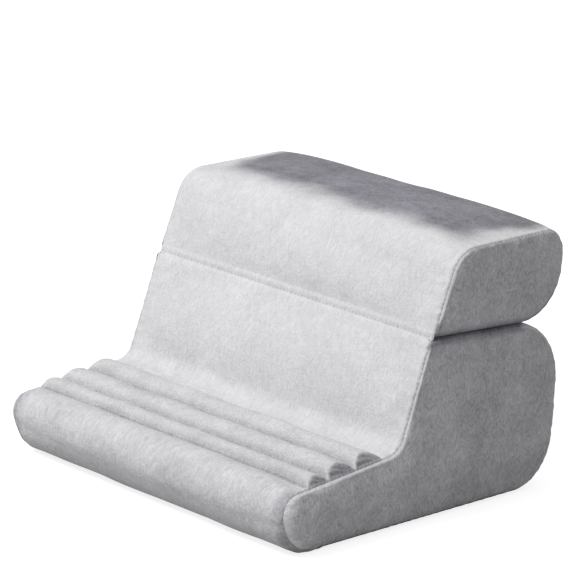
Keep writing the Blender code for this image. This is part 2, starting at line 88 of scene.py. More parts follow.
# What the stuffed nose adds to its foam.
NOSE_FILL = 1.8

# Stitched grooves of the ledge from the rear to the front, and the ribs between them.
GROOVES_Y = (-37.4, -60.6, -83.7, -100.7)
GROOVES_Z = (48.3, 46.0, 43.7, 42.0)
GROOVE_DEPTH = 2.0
GROOVE_WIDTH = 1.3
RIB_HEIGHTS = (6.9, 6.9, 5.2)
RIB_END_SLOPE = 1.5
RIB_END_ROUND = 2.6
PLEATS = 42
PLEAT_DEPTH = 0.3

BASE_CORNERS = {
    "hinge": Corner((-2.034, 117.589), 3.0, (0.0, 0.0), (ROUND, ROUND), 5.0),
    "seat": Corner((-23.7, 49.7), 13.0, (1.2, 0.0), (ROUND, ROUND), 0.0, flat_to=GROOVES_Y[-1]),
    "nose": Corner((-129.8, 39.11), 12.0, (4.6, 4.6), (FULL, FULL), 4.6),
    "foot": Corner((-109.495, 1.4), 34.0, (3.6, 1.4), (FULL, FLAT), 1.4),
    "rear_foot": Corner((121.9, 1.4), 32.0, (1.4, 1.4), (FLAT, FLAT), 4.0),
    "rear_top": Corner((123.5, 112.108), 45.0, (2.6, 0.0), (ROUND, ROUND), 0.0),
}
BLOCK_CORNERS = {
    "hinge": Corner((-0.273, 117.912), 3.0, (0.0, 0.0), (ROUND, ROUND), 0.0),
    "rear_foot": Corner((119.0, 112.705), 34.0, (0.0, 0.0), (FLAT, FLAT), 4.0),
    "rear_top": Corner((119.0, 173.502), 18.0, (3.4, 3.4), (ROUND, ROUND), 5.0),
    "front_top": Corner((18.624, 171.575), 22.0, (3.4, 3.4), (ROUND, ROUND), 5.0),
}
BASE_SPINE = ((-108.0, 23.5), (-66.0, 26.0), (-28.0, 31.0), (6.0, 45.0), (40.0, 59.0), (76.0, 62.0))
BLOCK_SPINE = ((30.0, 144.5), (60.0, 145.0), (89.0, 145.0))
# Distances along the outlines where each zip's tape starts and ends.
BASE_ZIP = (421.65, 435.65)
BLOCK_ZIP = (104.99, 118.99)

# How deep a stitched seam is pulled in, and the heights of the slack cloth's unevenness: puckers
# at the seams and a slow rumple elsewhere.
SEAM_PULL = 0.75
COVER_PUCKER = 0.12
COVER_RUMPLE = 0.32
SIDE_PUCKER = 0.1
SIDE_RUMPLE = 0.35
RUMPLE_PERIODS = (30.0, 75.0)

# The stitched dip at the fold, and the knots that its ends bunch up into.
FOLD_DIP_WIDTH = 1.5
KNOT_HEIGHT = 0.3
KNOT_REACH = 5.0

# How much painted shade each place gets, where it gets most: the plush is mixed towards its darker
# pile-away colour. 0 is the plush's own colour, with the pile facing the front.
LEDGE_PAINTED_SHADE = 0.16
NOSE_PAINTED_SHADE = 0.42
SIDE_PAINTED_SHADE = 0.47
TUCKED_PAINTED_SHADE = 0.4
TOP_PAINTED_SHADE = 0.94

# The simulated folds: cell size, frames, share that is kept and its limits.
FOLD_CELL = 6.0
FOLD_RINGS = 9
FOLD_FRAMES = 20
FOLD_KEPT = 0.5
FOLD_CAPS = (-0.45, 0.8)
CLOTH = {
    "quality": 6, "mass": 0.25, "tension_stiffness": 12.0, "compression_stiffness": 12.0,
    "shear_stiffness": 6.0, "bending_stiffness": 0.2, "vertex_group_mass": "held", "shrink_min": -0.07,
    "use_pressure": True, "uniform_pressure_force": 4.0,
}

# Sheets: the cloth's thickness, the share of the columns that is enough where less is seen,
# and the rows of the stretch over the fold.
COVER_WALL = 1.2
TAPE_WALL = 0.9
REAR_COLUMNS = 0.75
HIDDEN_COLUMNS = 0.63
BRIDGE_ROWS = 11

# Rubber dots: rings from the cloth down to the tip, as shares of the radius and of the height.
DOT_RADIUS = 1.7
DOT_SIDES = 8
DOT_RINGS = ((1.0, 1.0), (0.95, 0.45), (0.55, 0.0))
DOT_SPACING = (9.2, 8.2)
DOT_ROWS = 20
DOT_COLUMNS_EACH_WAY = 11
DOT_FRONT = -80.0

# Zip: how deep the tape is sunk, and the coil's arches.
ZIP_SUNK = 0.6
COIL_REACH = 97.0
COIL_HALF_WIDTH = 2.0
COIL_HEIGHT = 0.85
COIL_SHIFT = 0.45
COIL_STEPS = 8
THREAD_RADIUS = 0.42
THREAD_SIDES = 6

# Stage, in metres and degrees.
FLOOR_REACH = 6.0
FLOOR_GLOW = 0.8
LAMP_AZIMUTH, LAMP_ELEVATION = -18, 50
LAMP_DISTANCE, LAMP_SIZE = 1.8, 0.8
LAMP_AIM = (0, 0, 0.09)
CAMERA_PLACE = (1.33028, -1.37985, 0.65002)
CAMERA_AZIMUTH, CAMERA_ELEVATION, CAMERA_ROLL = 44.007, 15.432, 3.538
CAMERA_LENS, CAMERA_SENSOR = 195.34, 36.0


# Lines and waves.

def between(first, last, share):
    """The value a share of the way from the first to the last."""
    return first + (last - first) * share


def ease(values, low, high):
    """0 below low, 1 above high and a smooth S between."""
    share = np.clip((values - low) / (high - low), 0, 1)
    return share * share * (3 - 2 * share)


def soften(values, reach, wrap=False):
    """Columns blurred by a bell curve of the given reach in samples; wrapped ones are closed."""
    span = int(reach * 3)
    bell = np.exp(-0.5 * (np.arange(-span, span + 1) / reach) ** 2)
    bell /= bell.sum()
    padded = np.pad(values, ((span, span), (0, 0)), mode="wrap" if wrap else "edge")
    blurred = np.column_stack([np.convolve(column, bell, "valid") for column in padded.T])
    return np.vstack([blurred, blurred[:1]]) if wrap else blurred


def turned(arm, angle):
    """A vector (y, z) turned by an angle, or by each of several angles."""
    return np.stack([arm[0] * np.cos(angle) - arm[1] * np.sin(angle),
                     arm[0] * np.sin(angle) + arm[1] * np.cos(angle)], axis=-1)


def distances(line):
    """The distance of each point of a line from its start, along the line."""
    return np.concatenate([[0.0], np.cumsum(np.linalg.norm(np.diff(line, axis=0), axis=1))])


def wave(along, seed, low, high, parts=7):
    """A seeded sum of sines with periods from low to high, about -1 to 1."""
    dice = np.random.default_rng(seed)
    total = np.zeros_like(along)
    for _ in range(parts):
        period = dice.uniform(low, high)
        start = dice.uniform(0, 2 * math.pi)
        size = dice.uniform(0.5, 1.0)
        total = total + size * np.sin(2 * math.pi * along / period + start)
    return total / (0.62 * math.sqrt(parts) + 0.4)


def rumple(places, seed, low, high, parts=6):
    """A seeded sum of plane waves through space, for the gentle unevenness of stuffed cloth."""
    dice = np.random.default_rng(seed)
    total = np.zeros(places.shape[:-1])
    for _ in range(parts):
        way = dice.normal(size=3)
        way *= 2 * math.pi / dice.uniform(low, high) / np.linalg.norm(way)
        total += np.sin(places @ way + dice.uniform(0, 2 * math.pi))
    return total / math.sqrt(parts)


def low_of(first, second, reach):
    """The lower of two heights, with the corner between them rounded over a given reach."""
    mix = np.clip(0.5 + 0.5 * (second - first) / reach, 0, 1)
    return second + (first - second) * mix - reach * mix * (1 - mix)


class Outline:
    """A cushion's closed seam outline of round corners and runs, sampled every quarter millimetre.

    Columns of rows: place y and z, outward normal y and z, swell and power. Corners are arcs that
    touch both runs. Swell eases along an arc and is a parabola along a run, then is smoothed.
    marks holds the distances along the outline where each corner starts and ends.
    """

    STEP = 0.25
    NORMAL_BLUR = 1.2
    SWELL_BLUR = 3.0

    def __init__(self, body, corners, spine, seed, side_seed, side_swell, rings):
        self.body, self.spine, self.seed, self.side_seed = body, spine, seed, side_seed
        self.side_swell, self.rings = side_swell, rings
        self.folds = None
        self.marks = {}
        names, corners = list(corners), list(corners.values())
        after = corners[1:] + corners[:1]
        arcs = [self.arc(*three) for three in zip(corners[-1:] + corners[:-1], corners, after)]
        parts, along = [], 0.0
        for index, (name, corner, following) in enumerate(zip(names, corners, after)):
            start, centre, turn = arcs[index]
            length = abs(turn) * corner.radius
            bend = self.shares(length)
            arm = turned(start - centre, turn * bend)
            parts.append(np.column_stack([
                centre + arm, arm / corner.radius * math.copysign(1.0, turn),
                between(*corner.swells, ease(bend, 0.0, 1.0)), between(*corner.powers, bend)]))
            last = centre + turned(start - centre, turn)
            final = arcs[(index + 1) % len(arcs)][0]
            self.marks[name] = (along, along + length)
            run = np.linalg.norm(final - last)
            along += length + run
            share = self.shares(run)
            normal = (last - centre) / corner.radius * math.copysign(1.0, turn)
            parts.append(np.column_stack([
                between(last, final, share[:, None]), np.tile(normal, (len(share), 1)),
                self.run_swell(corner, following, share, last[0], final[0]),
                between(corner.powers[1], following.powers[0], share)]))
        rows = np.vstack([*parts, parts[0][:1]])
        raw = distances(rows[:, :2])
        self.length = raw[-1]
        self.along = np.linspace(0, self.length, round(self.length / self.STEP) + 1)
        table = np.column_stack([np.interp(self.along, raw, column) for column in rows.T])
        table[:, 2:4] = soften(table[:-1, 2:4], self.NORMAL_BLUR / self.STEP, wrap=True)
        table[:, 2:4] /= np.linalg.norm(table[:, 2:4], axis=1)[:, None]
        table[:, 4:] = soften(table[:-1, 4:], self.SWELL_BLUR / self.STEP, wrap=True)
        self.rows = table

    def shares(self, length):
        """Shares of a stretch, from 0 up to the step before 1."""
        steps = max(4, round(length / self.STEP))
        return np.arange(steps) / steps

    @staticmethod
    def arc(earlier, corner, later):
        """Where a corner's arc starts, its centre and the angle that it turns."""
        place = np.array(corner.place)
        before, after = place - earlier.place, later.place - place
        before, after = before / np.linalg.norm(before), after / np.linalg.norm(after)
        turn = math.atan2(before[0] * after[1] - before[1] * after[0], before @ after)
        start = place - before * corner.radius * math.tan(abs(turn) / 2)
        inward = np.array([-before[1], before[0]]) * math.copysign(1.0, turn)
        return start, start + inward * corner.radius, turn

    @staticmethod
    def run_swell(corner, following, share, first_y, last_y):
        """The swell at shares of the run after a corner."""
        first, last = corner.swells[1], following.swells[0]
        if corner.flat_to is not None:
            flat = (corner.flat_to - first_y) / (last_y - first_y)
            return last * np.clip((share - flat) / (1 - flat), 0, 1)
        rise = corner.middle - (first + last) / 2
        return between(first, last, share) + 4 * rise * share * (1 - share)

    def at(self, along):
        """Rows at distances along the outline, which wrap round."""
        wrapped = np.mod(along, self.length)
        return np.stack([np.interp(wrapped, self.along, column) for column in self.rows.T], axis=-1)

    def nearest(self, place):
        """The distance along the outline of its point nearest to a place (y, z)."""
        return self.along[np.argmin(np.linalg.norm(self.rows[:, :2] - np.array(place), axis=1))]


BASE = Outline("base", BASE_CORNERS, BASE_SPINE, seed=11, side_seed=101, side_swell=6.0, rings=36)
BLOCK = Outline("block", BLOCK_CORNERS, BLOCK_SPINE, seed=23, side_seed=113, side_swell=4.2, rings=28)
GROOVES = [BASE.nearest(place) for place in zip(GROOVES_Y, GROOVES_Z)]


# Shapes of the covers.

def seam_depth(outline, along):
    """How far the stitched side seam is pulled in at each distance along its outline."""
    return SEAM_PULL + 0.1 * wave(along, outline.seed, 6.0, 12.0)


def nose_share(outline, along):
    """1 round the nose's end, where the seam is plump and brushed over, and 0 elsewhere."""
    if outline is not BASE:
        return np.zeros_like(along)
    first, last = BASE.marks["nose"][0], BASE.marks["foot"][1]
    return ease(along, first - 6, first + 6) * (1 - ease(along, last - 20, last))


def nose_fill(outline, along):
    """How much fuller than the foam the stuffed nose is, seam and all, below its round."""
    if outline is not BASE:
        return np.zeros_like(along)
    first, last = BASE.marks["nose"][1] - 8, BASE.marks["foot"][1]
    return NOSE_FILL * ease(along, first, first + 20) * (1 - ease(along, last - 20, last))


def free_stretch(outline, along):
    """How free a cover is to fold: 0 at the hinge, between the cushions, by the zips and on the
    floor, 1 from 9 mm away from those, and 0.4 round the nose, which is stuffed tight.
    """
    around = np.mod(along, outline.length)
    if outline is BASE:
        held = [(outline.marks["rear_top"][1], outline.length), (0.0, outline.marks["hinge"][1]),
                (outline.marks["foot"][1], BASE_ZIP[1])]
    else:
        held = [(0.0, BLOCK_ZIP[1]), (outline.length - 2.0, outline.length)]
    gaps = [np.maximum(np.maximum(first - around, around - last), 0.0) for first, last in held]
    return ease(np.min(gaps, axis=0), 0.0, 9.0) * (1 - 0.6 * nose_share(outline, around))


def seam_dip(inset, depth, nose, reach=2.0):
    """The round shoulder and the narrow stitched valley beside a seam, at distances from it."""
    shoulder = (0.3 + 0.25 * nose) * np.clip(1 - inset / 7, 0, 1) ** 2
    return shoulder + depth * (1 - 0.55 * nose) * np.clip(1 - inset / reach, 0, 1) ** 2


def side_dip(inset, depth, nose):
    """The same on a side panel, whose edge rolls over more tightly than the covers do."""
    return seam_dip(inset, 1.35 * depth, nose, 1.7)


def puckers(inset):
    """How strongly the stitches pucker the cloth: most at 3 mm from the seam."""
    return inset / 3 * np.exp(1 - inset / 3)


def rib_height(along):
    """Half waves between the stitched grooves of the ledge, fuller and steeper on their front."""
    height = np.zeros_like(along)
    for rear, front, crest in zip(GROOVES, GROOVES[1:], RIB_HEIGHTS):
        share = np.clip((along - rear) / (front - rear), 0, 1)
        height = np.maximum(height, crest * np.sin(np.pi * share ** 1.25) ** 0.66)
    return height


def ribs_on(along, share, inset):
    """How high the ribs lift the ledge cover, and the painted shade on them.

    A rib ends in a slope of 1.5 mm per millimetre from the side seam, which is pleated: its pleats fan out
    from the groove behind it. Painted shade lies on the pleats, which face the side, and down in the
    grooves.
    """
    line = along[:, None]
    uneven = wave(along, 71, 9.0, 16.0)[:, None]
    height = rib_height(along)[:, None] * (0.9 + 0.1 * share)
    ends = RIB_END_SLOPE * inset + 0.7 * uneven * ease(inset, 0.0, 3.0)
    raised = low_of(height, ends, RIB_END_ROUND)
    pleated = ease(height - ends, -1.4, 1.8) * ease(inset, 0.2, 1.2) * ease(height, 0.3, 2.0)
    rear = np.array(GROOVES)[np.maximum(np.searchsorted(GROOVES, along, "right") - 1, 0)]
    fan = np.sin(PLEATS * np.arctan2(raised, line - rear[:, None] + 3.0)
                 + 2.0 * wave(along, 73, 9.0, 16.0)[:, None])
    lift = raised + PLEAT_DEPTH * pleated * fan
    painted_rib_shade = pleated * (0.55 - 0.3 * fan)
    for place in GROOVES:
        lift = lift - GROOVE_DEPTH * np.exp(-((line - place) / GROOVE_WIDTH) ** 2) * ease(inset, 0.6, 4.0)
        painted_rib_shade = painted_rib_shade + 0.2 * np.exp(-((line - place) / (2 * GROOVE_WIDTH)) ** 2) * ease(inset, 1.0, 9.0)
    return lift, painted_rib_shade


def band(outline, along, columns, seed, plump=1.0, ribs=False, flat_lift=0.0, folded=True):
    """A cover carried across the stand: its points, their distances from the side seams, and the painted
    shade on the ribs.

    Columns lie closer together near the seams: x = reach * (1.4 u - 0.4 u^3), with u from -1 to 1.
    Each point is lifted along the outline's normal by the sum of: the swell times
    1 - |x / reach|^power, the nose's fill, the ribs, puckers d / 3 * exp(1 - d / 3) at a distance d
    from the seam, the simulated folds and a slow rumple, less the dip into the seam.
    """
    rows = outline.at(along)
    depth = seam_depth(outline, along)[:, None]
    nose = nose_share(outline, along)[:, None]
    even = np.linspace(-1, 1, columns)
    share = (1.4 * even - 0.4 * even ** 3)[None, :]
    reach = HALF - side_dip(0.0, depth, nose)
    across = share * reach
    inset = reach - np.abs(across)
    crown = rows[:, 4:5] * (1 - np.abs(share) ** rows[:, 5:6])
    lift = crown + flat_lift + nose_fill(outline, along)[:, None]
    painted_rib_shade = np.zeros(inset.shape)
    if ribs:
        raised, painted_rib_shade = ribs_on(along, share, inset)
        lift = lift + raised
    lift = lift - seam_dip(inset, depth, nose)
    pulls = [wave(along, seed + 3 + hand, 5.0, 9.0)[:, None] for hand in (0, 1)]
    lift = lift + plump * COVER_PUCKER * puckers(inset) * np.where(across < 0, *pulls)
    if folded and plump:
        folds = read_field(folds_of(outline)[0], np.mod(along, outline.length) / outline.length, columns)
        lift = lift + folds * ease(inset, 0.0, 4.0) * free_stretch(outline, along)[:, None]
    place_y = rows[:, 0:1] + rows[:, 2:3] * lift
    place_z = rows[:, 1:2] + rows[:, 3:4] * lift
    points = np.stack([across, place_y, place_z], axis=-1)
    slow = plump * COVER_RUMPLE * ease(inset, 2.0, 16.0) * rumple(points, seed, *RUMPLE_PERIODS)
    points[..., 1] += rows[:, 2:3] * slow
    points[..., 2] = np.maximum(points[..., 2] + rows[:, 3:4] * slow, 0.05)
    return points, inset, painted_rib_shade


def spine_of(knots, step=4.0):
    """Stations along a smooth curve through the knots, by repeated corner cutting."""
    line = np.array(knots)
    for _ in range(4):
        near, far = line[:-1] * 0.75 + line[1:] * 0.25, line[:-1] * 0.25 + line[1:] * 0.75
        line = np.vstack([line[:1], np.stack([near, far], axis=1).reshape(-1, 2), line[-1:]])
    lengths = distances(line)
    stations = np.linspace(0, lengths[-1], round(lengths[-1] / step) + 1)
    return np.column_stack([np.interp(stations, lengths, line[:, axis]) for axis in (0, 1)])


def side(outline, steps, rings, seed, hand, slack=1.0, folded=True):
    """Points of a side panel on a closed ring of outline places by rings towards a spine, with their
    distances from the seam and the distances along the outline. hand is 0 left and 1 right.

    Place = seam + (spine - seam) q with q = 0.22 r + 0.78 r^2. The panel stands out from the seam
    plane by B (1 - (1 - q)^p), less the dip into the seam, with puckers, the simulated folds and a
    slow rumple as on the covers. p is 1.6, and 3.4 at the nose. B is the full swell where the spine
    is 32 mm or more from the outline, and up to 45 percent more in the nose.
    """
    along = np.arange(steps) * outline.length / steps
    rows = outline.at(along)
    depth = seam_depth(outline, along)
    nose = nose_share(outline, along)
    seam = rows[:, :2] + rows[:, 2:4] * (nose_fill(outline, along) - seam_dip(0.0, depth, nose))[:, None]
    stations = spine_of(outline.spine)
    gaps = np.linalg.norm(rows[:, None, :2] - stations[None], axis=2)
    chosen = np.argmin(gaps, axis=1)
    swell = outline.side_swell * (1 - (1 - np.minimum(gaps.min(axis=0) / 32.0, 1)) ** 2)
    swell *= 1 + 0.45 * ease(-stations[:, 0], 60.0, 95.0)
    swell = soften(swell[:, None], 3.0)[chosen]
    r = np.linspace(0, 1, rings)
    q = (0.22 * r + 0.78 * r * r)[None, :]
    inward = stations[chosen] - seam
    places = seam[:, None, :] + inward[:, None, :] * q[..., None]
    inset = np.linalg.norm(inward, axis=1)[:, None] * q
    out = HALF + swell * (1 - (1 - q) ** (1.6 + 1.8 * nose[:, None]))
    out = out - side_dip(inset, depth[:, None], nose[:, None])
    pull = wave(along, seed + 5 + hand, 5.0, 9.0)[:, None]
    out = out + slack * SIDE_PUCKER * puckers(inset) * pull
    if folded:
        folds = read_field(folds_of(outline)[1 + hand], along / outline.length, rings)
        out = out + folds * ease(inset, 0.0, 4.0) * (1 - r[None, :] ** 4)
    points = np.stack([out, places[..., 0], places[..., 1]], axis=-1)
    slow = rumple(points, seed + 31 * hand, *RUMPLE_PERIODS)
    points[..., 0] += slack * SIDE_RUMPLE * ease(inset, 2.0, 16.0) * slow
    points[..., 0] *= 1 if hand else -1
    return points, inset, along


# Folds of the stuffed cloth, by simulation.

def read_field(field, turn, columns):
    """A coarse field at shares of the outline and at a number of columns, by cubic B-splines."""
    def mixed(values, places, wrap):
        spot = places * (len(values) - (0 if wrap else 1))
        cell = np.floor(spot).astype(int)
        t = spot - cell
        parts = ((1 - t) ** 3, 3 * t ** 3 - 6 * t ** 2 + 4, -3 * t ** 3 + 3 * t ** 2 + 3 * t + 1, t ** 3)
        total = 0.0
        for shift, part in zip((-1, 0, 1, 2), parts):
            index = (cell + shift) % len(values) if wrap else np.clip(cell + shift, 0, len(values) - 1)
            total = total + part[:, None] / 6 * values[index]
        return total
    across = mixed(field.T, np.linspace(0, 1, columns), False).T
    return mixed(across, turn, True)


def folds_of(outline):
    """Folds of a cushion's cover and of its left and right panels, simulated once."""
    if outline.folds is None:
        outline.folds = simulate_folds(outline)
    return outline.folds


def stuffed_shell(outline, along, columns):
    """A coarse closed shell of a cushion, its places in millimetres, and the shell's point for each
    point of the cover's grid and then of both panels' grids.
    """
    rows = len(along)
    loop = band(outline, along, columns, 0, plump=0.0, ribs=outline is BASE, folded=False)[0]
    panels = [side(outline, rows, FOLD_RINGS, 0, hand, slack=0.0, folded=False)[0] for hand in (0, 1)]
    points = np.vstack([part.reshape(-1, 3) for part in (loop, *panels)])
    quads = np.vstack([grid_faces(rows, columns, closed=True),
                       grid_faces(rows, FOLD_RINGS, closed=True)[:, ::-1] + rows * columns,
                       grid_faces(rows, FOLD_RINGS, closed=True) + rows * (columns + FOLD_RINGS)])
    _, first, joined = np.unique(np.round(points, 2), axis=0, return_index=True, return_inverse=True)
    joined = joined.reshape(-1)
    faces = [list(dict.fromkeys(face)) for face in joined[quads].tolist()]
    mesh = bpy.data.meshes.new("stuffed_cover")
    mesh.from_pydata(points[first] * MM, [], [face for face in faces if len(face) > 2])
    mesh.update()
    shell = bpy.data.objects.new("stuffed_cover", mesh)
    bpy.context.scene.collection.objects.link(shell)
    return shell, points[first], joined


def blown_up(shell, held):
    """The places of a shell's points, in metres, once its cloth has been blown up from inside."""
    shell.vertex_groups.new(name="held").add(held, 1.0, "REPLACE")
    cloth = shell.modifiers.new("cloth", "CLOTH")
    for label, value in CLOTH.items():
        setattr(cloth.settings, label, value)
    cloth.settings.effector_weights.gravity = 0.0
    cloth.point_cache.frame_start, cloth.point_cache.frame_end = 1, FOLD_FRAMES
    for step in range(1, FOLD_FRAMES + 1):
        bpy.context.scene.frame_set(step)
    blown = shell.evaluated_get(bpy.context.evaluated_depsgraph_get())
    moved = np.empty(len(shell.data.vertices) * 3, np.float32)
    blown.data.vertices.foreach_get("co", moved)
    return moved.reshape(-1, 3)


def simulate_folds(outline):
    """Blow up a coarse closed cover, cut a little large, and keep its folds without its swelling.

    Its seams, grooves and held stretches are pinned. What is kept is half of the move along the
    normal less that move's own blur, because the outline holds the swell.
    """
    rows, columns = round(outline.length / FOLD_CELL), round(2 * HALF / FOLD_CELL)
    along = np.arange(rows) * outline.length / rows
    shapes = [(rows, columns), (rows, FOLD_RINGS), (rows, FOLD_RINGS)]
    shell, places, joined = stuffed_shell(outline, along, columns)
    pinned = np.zeros((rows, columns), bool)
    pinned[:, [0, -1]] = True
    pinned[free_stretch(outline, along) < 0.5] = True
    if outline is BASE:
        pinned[[np.argmin(np.abs(along - place)) for place in GROOVES]] = True
    moved = blown_up(shell, np.unique(joined[:rows * columns][pinned.ravel()]).tolist())
    mesh = shell.data
    bpy.data.objects.remove(shell)
    bpy.data.meshes.remove(mesh)
    bpy.context.scene.frame_set(1)
    moves = (moved / MM - places)[joined]
    cells = np.cumsum([0] + [wide * tall for wide, tall in shapes])
    loop, left, right = (moves[start:end].reshape(*shape, 3)
                         for start, end, shape in zip(cells, cells[1:], shapes))
    normals = outline.at(along)[:, None, 2:4]
    kept = []
    for field in ((loop[..., 1:] * normals).sum(axis=2), -left[..., 0], right[..., 0]):
        broad = soften(soften(field, 4.0, wrap=True)[:-1].T, 4.0).T
        kept.append(np.clip(FOLD_KEPT * (field - broad), *FOLD_CAPS))
    return kept


# Meshes.

def grid_faces(rows, columns, closed=False):
    """Quads of a grid. A closed grid joins its last row to its first."""
    above = np.arange(rows if closed else rows - 1)[:, None]
    beside = np.arange(columns - 1)[None, :]
    below = (above + 1) % rows
    return np.stack([above * columns + beside, below * columns + beside,
                     below * columns + beside + 1, above * columns + beside + 1], axis=-1).reshape(-1, 4)


def ring_faces(rings, sides):
    """Quads that join each ring of points to the next one."""
    return [(ring * sides + k, ring * sides + (k + 1) % sides,
             ring * sides + sides + (k + 1) % sides, ring * sides + sides + k)
            for ring in range(rings - 1) for k in range(sides)]


def repeated(faces, copies, size):
    """The faces of a number of copies of a shape that has a given number of points."""
    return [tuple(corner + copy * size for corner in face) for copy in range(copies) for face in faces]


def make_sheet(name, points, faces, layers, uv, material, thickness=COVER_WALL, weld=False):
    """A sheet from points in millimetres and quads that face outwards, with a thickness inwards.

    layers are named numbers per point for the material, and uv is a place per point in metres.
    """
    points = points.reshape(-1, 3) * MM
    mesh = bpy.data.meshes.new(name)
    mesh.from_pydata(points, [], faces)
    mesh.update()
    for label, values in layers.items():
        layer = mesh.attributes.new(label, "FLOAT", "POINT")
        layer.data.foreach_set("value", values.astype(np.float32).ravel())
    corners = np.empty(len(mesh.loops), np.int32)
    mesh.loops.foreach_get("vertex_index", corners)
    chart = mesh.uv_layers.new(name="Cloth")
    chart.data.foreach_set("uv", uv.reshape(-1, 2)[corners].astype(np.float32).ravel())
    piece = bpy.data.objects.new(name, mesh)
    bpy.context.scene.collection.objects.link(piece)
    if weld:
        work = bmesh.new()
        work.from_mesh(mesh)
        bmesh.ops.remove_doubles(work, verts=work.verts, dist=0.02 * MM)
        bmesh.ops.dissolve_degenerate(work, edges=work.edges, dist=0.01 * MM)
        work.to_mesh(mesh)
        work.free()
    mesh.shade_smooth()
    mesh.materials.append(material)
    if thickness:
        wall = piece.modifiers.new("wall", "SOLIDIFY")
        wall.thickness = thickness * MM
        wall.offset = -1.0
    return piece


def make_shells(name, points, faces, material):
    """Closed solid shells from points in millimetres, turned outwards."""
    flat = points.reshape(-1, 3)
    piece = make_sheet(name, flat, faces, {}, flat[:, :2] * MM, material, thickness=0)
    work = bmesh.new()
    work.from_mesh(piece.data)
    bmesh.ops.recalc_face_normals(work, faces=work.faces)
    work.to_mesh(piece.data)
    work.free()
    return piece


def cloth_layers(inset, along, nap_and_painted_shade):
    """What the plush reads: the distance to the seam, the place along it, and its painted shade, which also
    sets how the pile lies.
    """
    return {"seam_distance": inset, "nap_and_painted_shade": np.broadcast_to(nap_and_painted_shade, inset.shape),
            "seam_along": np.broadcast_to(along, inset.shape)}


def cover(name, points, inset, along, material, nap_and_painted_shade=0.0, stitched=None, flip=False, thickness=COVER_WALL):
    """A cover band as a sheet, with its own chart: across by distance along.

    stitched is the place along the nearest seam, where it isn't the distance along the outline.
    """
    along = along[:, None]
    faces = grid_faces(*inset.shape)
    uv = np.stack([points[..., 0] * MM, np.broadcast_to(along * MM, inset.shape)], axis=-1)
    layers = cloth_layers(inset, along if stitched is None else stitched, nap_and_painted_shade)
    return make_sheet(name, points, faces[:, ::-1] if flip else faces, layers, uv, material, thickness)


# Materials.

def feed(tree, node, feeds):
    """Give a node's inputs their values, or links from other sockets."""
    for label, value in feeds.items():
        socket = node.inputs[label]
        if isinstance(value, bpy.types.NodeSocket):
            tree.links.new(value, socket)
        else:
            socket.default_value = value
    return node


def put(tree, kind, feeds=None, **settings):
    """Add a node, with its settings and what feeds its inputs."""
    made = tree.nodes.new(kind)
    for label, value in settings.items():
        setattr(made, label, value)
    return feed(tree, made, feeds or {})


def maths(tree, operation, *values):
    """The result of a maths node on numbers or sockets."""
    return put(tree, "ShaderNodeMath", dict(enumerate(values)), operation=operation).outputs[0]


def scaled(tree, value, factor, rest):
    """A value times a factor, plus the rest."""
    return maths(tree, "MULTIPLY_ADD", value, factor, rest)


def spread(tree, value, low, high, to_low=0.0, to_high=1.0):
    """A value carried from one range to another, and held at its ends."""
    return put(tree, "ShaderNodeMapRange", {"Value": value, "From Min": low, "From Max": high,
                                            "To Min": to_low, "To Max": to_high}).outputs["Result"]


def tint(tree, colour, shade):
    """A colour times a number that changes over the surface."""
    grey = put(tree, "ShaderNodeCombineXYZ", {"X": shade, "Y": shade, "Z": shade}).outputs[0]
    return put(tree, "ShaderNodeVectorMath", {0: colour, 1: grey}, operation="MULTIPLY").outputs["Vector"]


def relief(tree, height, strength, distance):
    """A normal bumped by a height, over a distance in metres."""
    return put(tree, "ShaderNodeBump", {"Height": height, "Strength": strength,
                                        "Distance": distance}).outputs["Normal"]


def group(name, inputs, outputs):
    """A new shader node group, the sockets that give its inputs and those that take its outputs.

    An input of None is a vector, and any other is a number with that value as its default.
    """
    tree = bpy.data.node_groups.new(name, "ShaderNodeTree")
    for label, value in inputs.items():
        if value is None:
            tree.interface.new_socket(label, in_out="INPUT", socket_type="NodeSocketVector")
        else:
            socket = tree.interface.new_socket(label, in_out="INPUT", socket_type="NodeSocketFloat")
            socket.default_value = value
    for label in outputs:
        tree.interface.new_socket(label, in_out="OUTPUT", socket_type="NodeSocketFloat")
    return tree, tree.nodes.new("NodeGroupInput").outputs, tree.nodes.new("NodeGroupOutput").inputs


def pile_group():
    """Short pile: fine tufts, clumps of tufts and broad brushed patches."""
    tree, given, made = group("Pile", {"Place": None, "Tuft Size": 0.0011}, ("Tufts", "Clumps", "Patches"))
    scale = maths(tree, "DIVIDE", 1.0, given["Tuft Size"])
    for label, factor, detail in (("Tufts", 1.0, 3.0), ("Clumps", 0.28, 2.0), ("Patches", 0.055, 2.0)):
        noise = put(tree, "ShaderNodeTexNoise", {
            "Vector": given["Place"], "Scale": maths(tree, "MULTIPLY", scale, factor), "Detail": detail,
            "Roughness": 0.55})
        tree.links.new(spread(tree, noise.outputs["Fac"], 0.3, 0.7), made[label])
    return tree


